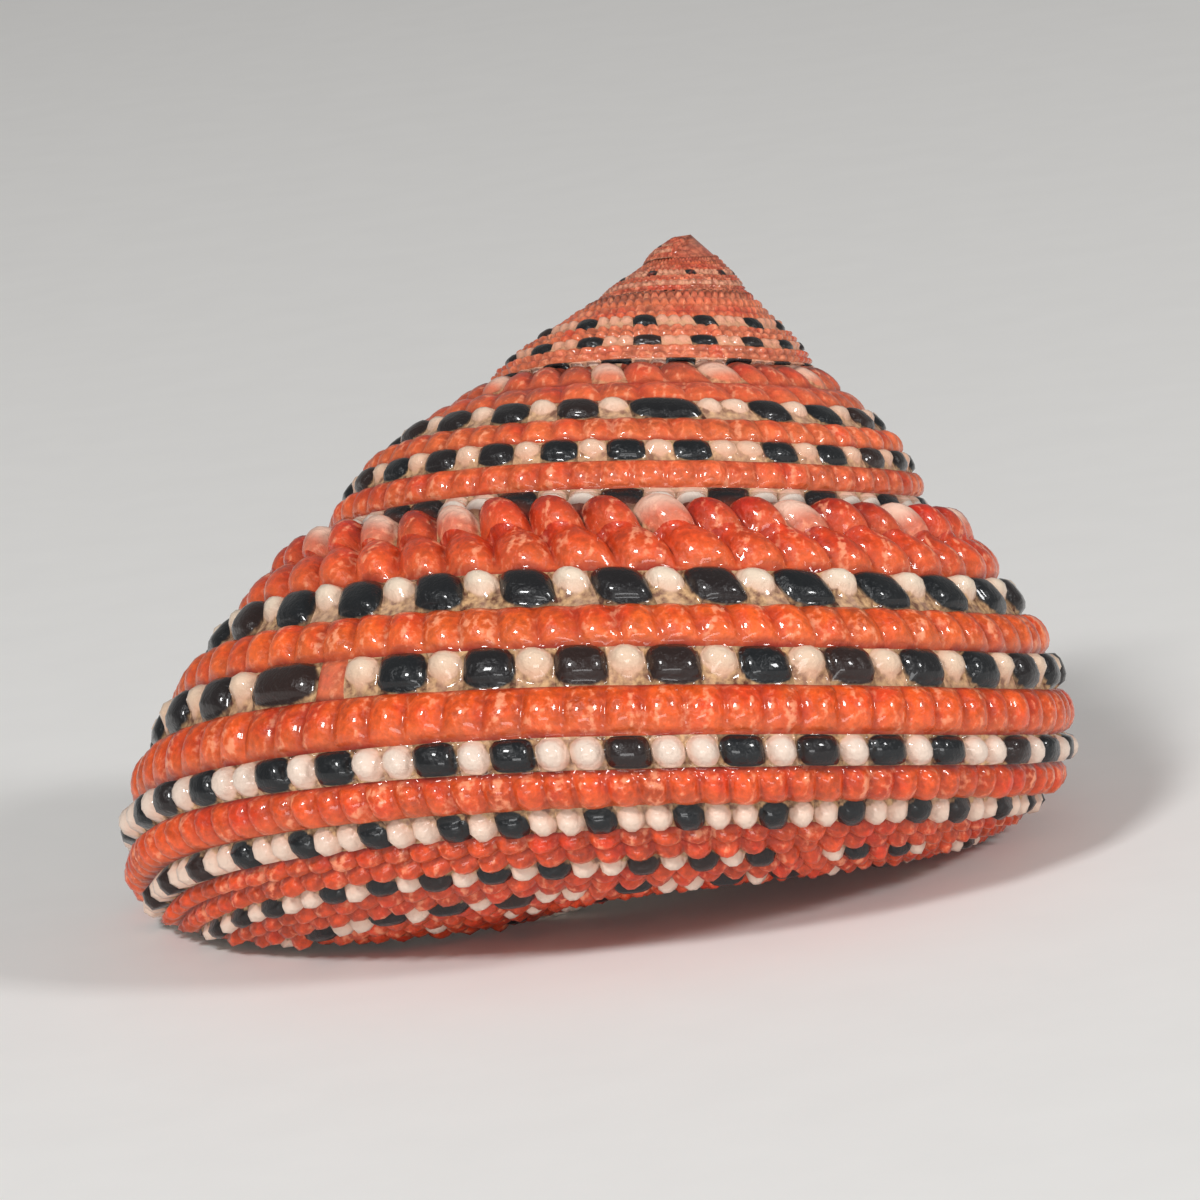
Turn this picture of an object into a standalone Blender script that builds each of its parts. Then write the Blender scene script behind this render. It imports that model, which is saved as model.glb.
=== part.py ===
# Strawberry top shell: one coiled, granular sea-snail shell, grown in one piece.
#
# The shell is an open cone wound round an upright axis. A station is a number of turns along the
# coil. Station 0.25 is the near side of the last whorl, and each whole turn back is one whorl up.
# Lengths are in millimetres until the mesh is made, and depth is measured down from the coil's origin.

import math

import bmesh
import bpy
import numpy as np
from mathutils import Matrix, Vector

MM = 0.001

# The coil: where each whorl leaves the one above it, at the reference station.
REFERENCE_STATION = 0.25
SUTURE_RADIUS = 6.65
SUTURE_DEPTH = 6.88
RADIUS_PER_TURN = 1.74
RADIUS_FADE = 0.087
RADIUS_CURL = 0.0073
DEPTH_PER_TURN = 1.89
DEPTH_FADE = 0.02
WHORLS = 4.26
LIP_STATION = 0.585

# The section of a whorl, as shares of the step from one suture to the next.
PERIPHERY_SHARE = 1.047
BASE_TURN_SHARE = 0.23
BASE_DEPTH_SHARE = 1.50
CORNER_POWER = 1.61
RIM_RADIUS = 1.62
RIM_PER_TURN = 1.5
RIM_DEPTH_SHARE = 1.364
BASE_BULGE = 0.06

# The mouth: how far its upper end leads and its lower edge trails, in turns, and how thick the wall is.
LIP_LEAD = 0.07
LIP_TRAIL = 0.235
WALL = 0.75
LIP_WALL = 0.85
FOLD_HEIGHT = 0.22
FOLD_LENGTH = 0.07
TOOTH_HEIGHT = 0.8
TOOTH_LENGTH = 0.1
CHAMBER_TURNS = 1.0
CORNER_SLACK = 1.4
WALL_START_ARC = 1.9
WALL_END_ARC = 1.6
PILLAR_ARC = 6.0
PILLAR_COLUMNS = ((0.12, 0.6), (0.3, 1.0), (0.55, 0.2))
APEX_DOME = 0.22

# Mesh fineness.
SUTURE_STEPS = 40
RIM_STEPS = 26
BASE_STEPS = 40
CHAMBER_RINGS = 26
MOUTH_COLUMNS = 25
ROOM_COLUMNS = 11
ROOF_COLUMNS = 7
GROOVE_DEPTH = 0.12

# Rest: the tilt that lays the shell on its base and lip, and the depth of the worn spots it stands on.
REST_TILT_X = math.radians(-17.14)
REST_TILT_Y = math.radians(12.08)
REST_TURN_Z = math.radians(-1.93)
WORN_DEPTH = 0.15

# Cords down the flank and across the base: width, height of the crest, beads in a turn.
# A cord with no beads here is too fine to show its beads at this mesh's size.
FLANK_CORDS = (
    (1.40, 0.34, 42),
    (1.30, 0.26, 54),
    (1.10, 0.24, 50),
    (1.10, 0.20, 0),
    (0.95, 0.24, 56),
    (1.20, 0.20, 0),
)
PERIPHERY_CORD = (0.75, 0.22, 40)
BASE_CORDS = (
    (0.90, 0.18, 0),
    (0.65, 0.16, 0),
    (0.90, 0.14, 0),
    (0.50, 0.14, 0),
    (0.70, 0.14, 0),
    (0.80, 0.14, 0),
    (0.90, 0.14, 0),
    (0.70, 0.14, 0),
    (0.85, 0.14, 0),
    (0.60, 0.14, 0),
    (0.80, 0.14, 0),
)
RIM_CORD_HEIGHT = 0.2
BEAD_GAP_SHARE = 0.35
BEADS_GROW = 0.1

SHELL_COLOUR = (0.72, 0.13, 0.06, 1.0)
SHELL_ROUGHNESS = 0.35


def clear_scene():
    for old in list(bpy.data.objects):
        bpy.data.objects.remove(old, do_unlink=True)


def suture(station):
    """Radius and depth of the line where a whorl meets the one above it."""
    along = station - REFERENCE_STATION
    bend = RADIUS_FADE * along**2 + RADIUS_CURL * along**3
    radius = SUTURE_RADIUS * math.exp(math.log(RADIUS_PER_TURN) * along - bend)
    depth = SUTURE_DEPTH * math.exp(math.log(DEPTH_PER_TURN) * along - DEPTH_FADE * along**2)
    return radius, depth


def rim(station):
    """Radius and depth of the edge of the umbilicus, the hollow under the axis."""
    radius = RIM_RADIUS * RIM_PER_TURN ** (station - REFERENCE_STATION)
    depth = suture(station)[1]
    step = suture(station + 1)[1] - depth
    return radius, depth + RIM_DEPTH_SHARE * step


def section_shape():
    """The whorl's outline as shares: out, down, and how far across the base, from suture to rim."""
    shape = []
    full = 1 - (1 - 1 / PERIPHERY_SHARE) ** 2
    for down in np.linspace(0, PERIPHERY_SHARE, 81):
        out = (1 - (1 - down / PERIPHERY_SHARE) ** 2) / full
        shape.append((out, down, 0.0))
    widest = shape[-1][0]
    power = 2 / CORNER_POWER
    for angle in np.linspace(0, math.pi / 2, 61)[1:]:
        out = BASE_TURN_SHARE + (widest - BASE_TURN_SHARE) * max(0.0, math.cos(angle)) ** power
        down = PERIPHERY_SHARE + (BASE_DEPTH_SHARE - PERIPHERY_SHARE) * math.sin(angle) ** power
        shape.append((out, down, 0.0))
    for across in np.linspace(0, 1, 61)[1:]:
        shape.append((BASE_TURN_SHARE, BASE_DEPTH_SHARE, across))
    return np.array(shape)


def place_share(station, out, down, across):
    """Radius and depth of one point of the outline at a station."""
    radius, depth = suture(station)
    next_radius, next_depth = suture(station + 1)
    rim_radius, rim_depth = rim(station)
    step = next_depth - depth
    outer_radius = radius + out * (next_radius - radius)
    outer_depth = depth + down * step
    bulge = BASE_BULGE * step * 4 * across * (1 - across)
    return (
        outer_radius + across * (rim_radius - outer_radius),
        outer_depth + across * (rim_depth - outer_depth) + bulge,
    )


def arc_lengths(shape):
    """Distance in millimetres along the outline at the reference station."""
    points = np.array([place_share(REFERENCE_STATION, *row) for row in shape])
    steps = np.hypot(*np.diff(points, axis=0).T)
    return np.concatenate([[0.0], np.cumsum(steps)])


SHAPE = section_shape()
ARC = arc_lengths(SHAPE)
SUTURE_ARC = float(np.interp(1.0, SHAPE[:81, 1], ARC[:81]))
RIM_ARC = float(ARC[-1])
ARC_NUDGE = 0.05


def outline(station, arc):
    """Radius and depth at a distance along the outline."""
    return place_share(station, *(np.interp(arc, ARC, SHAPE[:, k]) for k in range(3)))


def outward(station, arc):
    """The outline's outward direction, as radius and depth."""
    before = outline(station, max(0.0, arc - ARC_NUDGE))
    after = outline(station, min(RIM_ARC, arc + ARC_NUDGE))
    along_radius = after[0] - before[0]
    along_depth = after[1] - before[1]
    length = math.hypot(along_radius, along_depth)
    return along_depth / length, -along_radius / length


def trailing(arc):
    """How many turns the growth lines fall back under the periphery, or lead above it."""
    if arc < SUTURE_ARC:
        return -LIP_LEAD * (1 - arc / SUTURE_ARC) ** 2
    share = (arc - SUTURE_ARC) / (RIM_ARC - SUTURE_ARC)
    return LIP_TRAIL * math.sin(share * math.pi / 2)


def in_space(station, radius, depth):
    angle = -2 * math.pi * station
    return Vector((radius * math.cos(angle), radius * math.sin(angle), -depth))


def skin(station, arc, lift=0.0):
    """A point of the outer skin, lifted along its outward direction."""
    here = station - trailing(arc)
    radius, depth = outline(here, arc)
    normal = outward(here, arc)
    return in_space(here, radius + lift * normal[0], depth + lift * normal[1])


def growth(station):
    """Size of the whorl at a station against the reference station."""
    return suture(station)[0] / SUTURE_RADIUS


def bead_phase(station, beads):
    return beads * (station + BEADS_GROW * station**2 / 2)


def bead_stations(first, last, beads):
    """Stations of every bead top and every gap between two beads, with the height at each."""
    halves = range(math.ceil(2 * bead_phase(first, beads)), math.floor(2 * bead_phase(last, beads)) + 1)
    found = [(first, BEAD_GAP_SHARE)]
    for half in halves:
        phase = half / 2
        station = (math.sqrt(1 + 2 * BEADS_GROW * phase / beads) - 1) / BEADS_GROW
        if first + 0.004 < station < last - 0.004:
            found.append((station, BEAD_GAP_SHARE if half % 2 else 1.0))
    found.append((last, BEAD_GAP_SHARE))
    return found


def even_stations(first, last, per_turn):
    count = max(1, round((last - first) * per_turn))
    return [first + (last - first) * k / count for k in range(count + 1)]


class Shell:
    """Collects the vertices and faces of the one closed surface."""

    def __init__(self):
        self.mesh = bmesh.new()

    def vertex(self, point):
        return self.mesh.verts.new(point * MM)

    def triangle(self, a, b, c):
        if a is not b and b is not c and a is not c:
            self.mesh.faces.new((a, b, c))

    def stitch(self, upper, lower):
        """Joins two lines of (place, vertex) pairs with triangles, whichever line is behind going on."""
        i = 0
        j = 0
        while i < len(upper) - 1 or j < len(lower) - 1:
            more_upper = i < len(upper) - 1
            more_lower = j < len(lower) - 1
            if more_upper and (not more_lower or upper[i + 1][0] <= lower[j + 1][0]):
                self.triangle(upper[i][1], upper[i + 1][1], lower[j][1])
                i += 1
            else:
                self.triangle(upper[i][1], lower[j + 1][1], lower[j][1])
                j += 1

    def fan(self, loop, centre):
        for k, here in enumerate(loop):
            self.triangle(here, loop[(k + 1) % len(loop)], centre)


def crest_line(shell, arc, height, beads, first, last, start=None):
    """One helical line of vertices along a cord's crest. It can start from a vertex that is there."""
    if beads:
        places = bead_stations(first, last, beads)
    else:
        places = [(station, 1.0) for station in even_stations(first, last, BASE_STEPS)]
    line = []
    for station, share in places:
        lift = (height * share - GROOVE_DEPTH) * min(1.0, growth(station))
        if start and not line:
            line.append((station, start))
        else:
            line.append((station, shell.vertex(skin(station, arc, lift))))
    return line


def flank_arcs():
    """Places of the flank's crests and grooves below the suture, down to the periphery's crest."""
    places = []
    arc = 0.0
    for width, _, _ in FLANK_CORDS:
        places += [arc + width / 2, arc + width]
        arc += width
    return places + [SUTURE_ARC]


def groove_line(shell, arc, first, last):
    line = []
    for station in even_stations(first, last, BASE_STEPS):
        lift = -GROOVE_DEPTH * min(1.0, growth(station))
        line.append((station, shell.vertex(skin(station, arc, lift))))
    return line


def build_flank(shell, first, last):
    """The spire and the last whorl's flank, from the apex to the lip. Returns its lines of vertices."""
    count = round((last - first) * SUTURE_STEPS)
    top = []
    for k in range(count + 1):
        station = last - (count - k) / SUTURE_STEPS
        top.append((station, shell.vertex(skin(station, 0.0))))
    lines = [top]
    arc = 0.0
    for width, height, beads in FLANK_CORDS:
        lines.append(crest_line(shell, arc + width / 2, height, beads, first, last))
        arc += width
        lines.append(groove_line(shell, arc, first, last))
    under = [(station + LIP_LEAD - 1, vertex) for station, vertex in top[SUTURE_STEPS:]]
    width, height, beads = PERIPHERY_CORD
    crest = crest_line(shell, SUTURE_ARC, height, beads, last + LIP_LEAD - 1, last, under[-1][1])
    lines.append(under + crest[1:])
    for upper, lower in zip(lines, lines[1:]):
        shell.stitch(upper, lower)
    apex_loop = [vertex for _, vertex in top[: SUTURE_STEPS + 1]]
    apex_loop += [line[0][1] for line in reversed(lines[1:-1])]
    shell.fan(apex_loop, shell.vertex(Vector((0.0, 0.0, -suture(first)[1] + APEX_DOME))))
    return lines, crest, arc + width


def build_base(shell, crest, arc, last):
    """The cords under the periphery, as (arc, line) pairs that end in the rim of the umbilicus."""
    base = [(SUTURE_ARC, crest)]
    base.append((arc, groove_line(shell, arc, last - 1, last)))
    for width, height, beads in BASE_CORDS:
        base.append((arc + width / 2, crest_line(shell, arc + width / 2, height, beads, last - 1, last)))
        arc += width
        base.append((arc, groove_line(shell, arc, last - 1, last)))
    middle = (arc + RIM_ARC) / 2
    base.append((middle, crest_line(shell, middle, RIM_CORD_HEIGHT, 0, last - 1, last)))
    return base


def build_umbilicus(shell, base, last):
    """The hollow under the axis: a wall that climbs from each rim to the rim of the whorl before."""
    count = 2 * RIM_STEPS
    edge = []
    for k in range(count + 1):
        station = last - (count - k) / RIM_STEPS
        edge.append((station, shell.vertex(skin(station, RIM_ARC))))
    lower = edge[RIM_STEPS:]
    upper = [(station + 1, vertex) for station, vertex in edge[: RIM_STEPS + 1]]
    middle = []
    for station, _ in lower:
        middle.append((station, shell.vertex(pillar(station, 0.5, 0.0))))
    base.append((RIM_ARC, lower))
    shell.stitch(lower, middle)
    shell.stitch(middle, upper)
    loop = [vertex for _, vertex in upper] + [middle[0][1]]
    depth = sum(vertex.co.z for vertex in loop) / len(loop) / MM
    shell.fan(loop, shell.vertex(Vector((0.0, 0.0, depth))))
    return [(RIM_ARC, lower[-1][1]), (RIM_ARC + PILLAR_ARC / 2, middle[-1][1]), (RIM_ARC + PILLAR_ARC, upper[-1][1])]


def pillar(station, climb, inset):
    """A point of the pillar round the umbilicus, climbing from this rim to the one before."""
    here = station - LIP_TRAIL
    radius, depth = rim(here)
    before_radius, before_depth = rim(here - 1)
    along_radius = before_radius - radius
    along_depth = before_depth - depth
    length = math.hypot(along_radius, along_depth)
    return in_space(
        here,
        radius + climb * along_radius - inset * along_depth / length,
        depth + climb * along_depth + inset * along_radius / length,
    )


def fading(back, length):
    """1 at the mouth, falling smoothly to 0 at a distance of length turns inside."""
    share = min(1.0, max(0.0, back / length))
    return 1 - share * share * (3 - 2 * share)


def chamber_wall(station, last, columns):
    """The inner face of the outer wall and the pillar, as (place, point) pairs."""
    back = last - station
    size = growth(station)
    points = []
    for k, arc in enumerate(np.linspace(WALL_START_ARC, RIM_ARC - WALL_END_ARC, columns)):
        wall = (WALL + (LIP_WALL - WALL) * fading(back, FOLD_LENGTH)) * size
        if k % 2 and 3 < k < columns - 2 and columns == MOUTH_COLUMNS:
            wall += FOLD_HEIGHT * fading(back, FOLD_LENGTH)
        points.append((float(arc), skin(station, float(arc), -wall)))
    for climb, tooth in PILLAR_COLUMNS:
        inset = WALL * size + tooth * TOOTH_HEIGHT * fading(back, TOOTH_LENGTH)
        points.append((RIM_ARC + climb * PILLAR_ARC, pillar(station, climb, inset)))
    return points


def build_chamber(shell, outer_edge, base, last):
    """The lip, the folds inside it, and the coiled room that narrows to a blind end."""
    first_roof = next(k for k, (arc, _) in enumerate(base) if arc > SUTURE_ARC + CORNER_SLACK)
    last_roof = max(k for k, (arc, _) in enumerate(base) if arc < RIM_ARC - CORNER_SLACK)
    roof = [(arc, line[0][1]) for arc, line in base[first_roof : last_roof + 1]]
    wall = [(place, shell.vertex(point)) for place, point in chamber_wall(last, last, MOUTH_COLUMNS)]
    top = [(arc - SUTURE_ARC, line[0][1]) for arc, line in base[1 : first_roof + 1]]
    end_place = RIM_ARC + PILLAR_ARC
    bottom = [(end_place - RIM_ARC + arc, line[0][1]) for arc, line in base[last_roof:-1]]
    shell.stitch(outer_edge, top + wall + bottom)
    wall = [top[-1]] + wall + [bottom[0]]
    backs = [0.4 * FOLD_LENGTH, FOLD_LENGTH]
    backs += [FOLD_LENGTH + (CHAMBER_TURNS - FOLD_LENGTH) * k / CHAMBER_RINGS for k in range(1, CHAMBER_RINGS + 1)]
    for back in backs:
        columns = MOUTH_COLUMNS if back < FOLD_LENGTH else ROOM_COLUMNS
        station = last - back
        next_roof = []
        for arc in np.linspace(roof[0][0], roof[-1][0], ROOF_COLUMNS):
            next_roof.append((float(arc), shell.vertex(skin(station - 1, float(arc)))))
        next_wall = [(wall[0][0], next_roof[0][1])]
        next_wall += [(place, shell.vertex(point)) for place, point in chamber_wall(station, last, columns)]
        next_wall.append((wall[-1][0], next_roof[-1][1]))
        shell.stitch(roof, next_roof)
        shell.stitch(next_wall, wall)
        roof = next_roof
        wall = next_wall
    ring = [vertex for _, vertex in roof] + [vertex for _, vertex in reversed(wall[1:-1])]
    middle = sum((vertex.co for vertex in ring), Vector()) / len(ring)
    shell.fan(ring, shell.mesh.verts.new(middle))


def lay_to_rest(mesh):
    """Tilts the shell on to its base and lip, wears its lowest spots flat and centres it over them."""
    turn = Matrix.Rotation(REST_TURN_Z, 4, "Z")
    tilt = Matrix.Rotation(REST_TILT_Y, 4, "Y") @ Matrix.Rotation(REST_TILT_X, 4, "X")
    bmesh.ops.transform(mesh, matrix=turn @ tilt, verts=mesh.verts)
    floor = min(vertex.co.z for vertex in mesh.verts) + WORN_DEPTH * MM
    everything = mesh.verts[:] + mesh.edges[:] + mesh.faces[:]
    cut = bmesh.ops.bisect_plane(
        mesh, geom=everything, dist=1e-8, plane_co=(0, 0, floor), plane_no=(0, 0, -1), clear_outer=True
    )
    rims = [part for part in cut["geom_cut"] if isinstance(part, bmesh.types.BMEdge)]
    bmesh.ops.holes_fill(mesh, edges=rims, sides=0)
    middle = []
    for axis in range(2):
        places = [vertex.co[axis] for vertex in mesh.verts]
        middle.append((min(places) + max(places)) / 2)
    bmesh.ops.translate(mesh, vec=(-middle[0], -middle[1], -floor), verts=mesh.verts)


def shell_material():
    material = bpy.data.materials.new("shell")
    material.use_nodes = True
    surface = material.node_tree.nodes["Principled BSDF"]
    surface.inputs["Base Color"].default_value = SHELL_COLOUR
    surface.inputs["Roughness"].default_value = SHELL_ROUGHNESS
    surface.inputs["Metallic"].default_value = 0.0
    return material


def main():
    clear_scene()
    shell = Shell()
    first = LIP_STATION - WHORLS
    lines, crest, arc = build_flank(shell, first, LIP_STATION)
    base = build_base(shell, crest, arc, LIP_STATION)
    pillar_edge = build_umbilicus(shell, base, LIP_STATION)
    for (_, upper), (_, lower) in zip(base, base[1:]):
        shell.stitch(upper, lower)
    arcs = [0.0] + [line_arc for line_arc in flank_arcs()]
    outer_edge = [(place, line[-1][1]) for place, line in zip(arcs, lines)]
    outer_edge += [(line_arc, line[-1][1]) for line_arc, line in base[1:-1]]
    outer_edge += pillar_edge
    build_chamber(shell, outer_edge, base, LIP_STATION)
    bmesh.ops.recalc_face_normals(shell.mesh, faces=shell.mesh.faces)
    lay_to_rest(shell.mesh)
    mesh = bpy.data.meshes.new("shell")
    shell.mesh.to_mesh(mesh)
    shell.mesh.free()
    mesh.shade_smooth()
    mesh.set_sharp_from_angle(angle=math.radians(50))
    mesh.materials.append(shell_material())
    whole = bpy.data.objects.new("shell", mesh)
    bpy.context.collection.objects.link(whole)


main()
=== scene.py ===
# %% [markdown]
# # A strawberry top shell
#
# The real thing is the empty shell of a small sea snail, about 22 mm across. The animal builds it as one
# tube that coils round an upright axis and widens as it goes, and it studs the tube with rows of beads.
# It could be sculpted by hand or wrapped in a picture. Here it is grown by its own rule instead: the
# skin is first laid out flat, row by row and bead by bead, and Geometry Nodes then wind it up.

# %% Load the solid model that this shell has to fit
import math
from collections import namedtuple

import bmesh
import bpy
import numpy as np
from mathutils import Matrix, Vector


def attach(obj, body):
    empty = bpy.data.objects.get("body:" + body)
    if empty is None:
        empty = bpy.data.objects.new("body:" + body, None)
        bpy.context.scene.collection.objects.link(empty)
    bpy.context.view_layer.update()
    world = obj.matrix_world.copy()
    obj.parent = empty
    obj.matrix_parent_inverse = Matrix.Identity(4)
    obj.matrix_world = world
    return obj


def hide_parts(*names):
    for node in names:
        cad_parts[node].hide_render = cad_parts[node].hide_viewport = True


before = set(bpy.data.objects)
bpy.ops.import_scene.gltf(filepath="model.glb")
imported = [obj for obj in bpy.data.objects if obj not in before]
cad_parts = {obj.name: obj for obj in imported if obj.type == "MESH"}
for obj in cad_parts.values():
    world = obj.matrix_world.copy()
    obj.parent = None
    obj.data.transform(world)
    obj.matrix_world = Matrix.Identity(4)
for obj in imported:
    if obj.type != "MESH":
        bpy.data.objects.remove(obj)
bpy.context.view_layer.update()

# %% [markdown]
# ## The rule of growth
#
# A station counts turns along the coil: 0.25 is the near side of the last whorl, and one whole turn less
# is one whorl further up. The suture is the seam where a whorl leaves the one above. Its radius and its
# depth below the tip grow almost by the same factor each turn, which is what makes a shell a shell.
# These are the solid model's own numbers, so that the two fit. Lengths are in millimetres until the end.

# %% Growth numbers
MM = 0.001
REFERENCE = 0.25
GROWTH = {
    "Suture radius": 6.65,
    "Radius per turn": 1.74,
    "Radius fade": 0.087,
    "Radius curl": 0.0073,
    "Suture depth": 6.88,
    "Depth per turn": 1.89,
    "Depth fade": 0.02,
    "Rim radius": 1.62,
    "Rim radius per turn": 1.5,
    "Rim depth share": 1.364,
    "Base bulge": 0.06,
}
LIP = 0.585
FIRST = LIP - 4.26
LEAD = 0.07
TRAIL = 0.235


def suture(station):
    """Radius and depth of the seam at a station."""
    along = np.asarray(station, float) - REFERENCE
    bend = GROWTH["Radius fade"] * along**2 + GROWTH["Radius curl"] * along**3
    radius = GROWTH["Suture radius"] * np.exp(math.log(GROWTH["Radius per turn"]) * along - bend)
    fade = GROWTH["Depth fade"] * along**2
    depth = GROWTH["Suture depth"] * np.exp(math.log(GROWTH["Depth per turn"]) * along - fade)
    return radius, depth


def growth(station):
    """Size of the whorl against the reference station, and never more than 1."""
    return np.minimum(1.0, suture(station)[0] / GROWTH["Suture radius"])


for turn in (FIRST, -1.75, -0.75, REFERENCE, LIP):
    print(f"station {turn:+.2f}: seam radius {suture(turn)[0]:.2f} mm, depth {suture(turn)[1]:.2f} mm")

# %% [markdown]
# ## The outline of one whorl
#
# Cut across, a whorl bulges out from its seam to the periphery, turns under, and runs in across the base
# to the rim of the umbilicus, the hollow under the axis. The outline is written as shares of the step
# from one seam to the next, so that one curve serves every whorl. Each row of beads is then placed by
# its distance along this curve.

# %% The outline as shares
PERIPHERY_SHARE = 1.047
BASE_TURN_SHARE = 0.23
BASE_DEPTH_SHARE = 1.50
CORNER_POWER = 1.61
PAST_RIM = 1.02
FLANK_STEPS, TURN_STEPS, BASE_STEPS = 80, 60, 60


def section_shape():
    """Out, down and across-the-base shares, from the seam to just past the rim."""
    down = np.linspace(0, PERIPHERY_SHARE, FLANK_STEPS + 1)
    flank_out = (1 - (1 - down / PERIPHERY_SHARE) ** 2) / (1 - (1 - 1 / PERIPHERY_SHARE) ** 2)
    flank = np.column_stack([flank_out, down, 0 * down])
    angle = np.linspace(0, math.pi / 2, TURN_STEPS + 1)[1:]
    power = 2 / CORNER_POWER
    turn_out = BASE_TURN_SHARE + (flank_out[-1] - BASE_TURN_SHARE) * np.cos(angle).clip(0) ** power
    turn_down = PERIPHERY_SHARE + (BASE_DEPTH_SHARE - PERIPHERY_SHARE) * np.sin(angle) ** power
    turn = np.column_stack([turn_out, turn_down, 0 * angle])
    across = np.append(np.linspace(0, 1, BASE_STEPS + 1)[1:], PAST_RIM)
    base = np.column_stack([0 * across + BASE_TURN_SHARE, 0 * across + BASE_DEPTH_SHARE, across])
    return np.vstack([flank, turn, base])


def place(station, shares):
    """Radius and depth of points given by their shares at a station."""
    radius, depth = suture(station)
    next_radius, next_depth = suture(station + 1)
    rim_radius = GROWTH["Rim radius"] * GROWTH["Rim radius per turn"] ** (station - REFERENCE)
    step = next_depth - depth
    out, down, across = shares.T
    outer_radius = radius + out * (next_radius - radius)
    outer_depth = depth + down * step
    rim_depth = depth + GROWTH["Rim depth share"] * step
    bulge = GROWTH["Base bulge"] * step * 4 * across * (1 - across)
    return (
        outer_radius + across * (rim_radius - outer_radius),
        outer_depth + across * (rim_depth - outer_depth) + bulge,
    )


SHAPE = section_shape()
print("the outline has", len(SHAPE), "points")

# %% Distances along the outline
ARC = np.concatenate([[0.0], np.cumsum(np.hypot(*np.diff(place(REFERENCE, SHAPE), axis=1)))])
SEAM_ARC = float(np.interp(1.0, SHAPE[: FLANK_STEPS + 1, 1], ARC[: FLANK_STEPS + 1]))
RIM_ARC = float(ARC[-2])
NUDGE = 0.05


def shares_at(arc):
    """The outline's three shares at a distance from the seam."""
    return np.column_stack([np.interp(arc, ARC, SHAPE[:, k]) for k in range(3)])


def trailing(arc):
    """How many turns the growth lines fall back below the periphery, or lead above it."""
    above = -LEAD * (1 - np.minimum(arc, SEAM_ARC) / SEAM_ARC) ** 2
    share = (np.maximum(arc, SEAM_ARC) - SEAM_ARC) / (RIM_ARC - SEAM_ARC)
    return above + TRAIL * np.sin(share * math.pi / 2)


print(f"from the seam to the next seam {SEAM_ARC:.2f} mm, to the rim {RIM_ARC:.2f} mm")

# %% [markdown]
# ## The rows and their rhythm
#
# Each row is a string of beads. Some rows are coral red all the way. In others the snail laid down dark
# and pale beads in turn, with its own small irregularities. A rhythm such as "dp" or "dpp" says that in
# one word: d for dark, p for pale, r for red, and s for a smooth healed scar. A string starts at a station
# and repeats its rhythm until the next one starts. One that ends in a full stop is a single bead.

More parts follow.
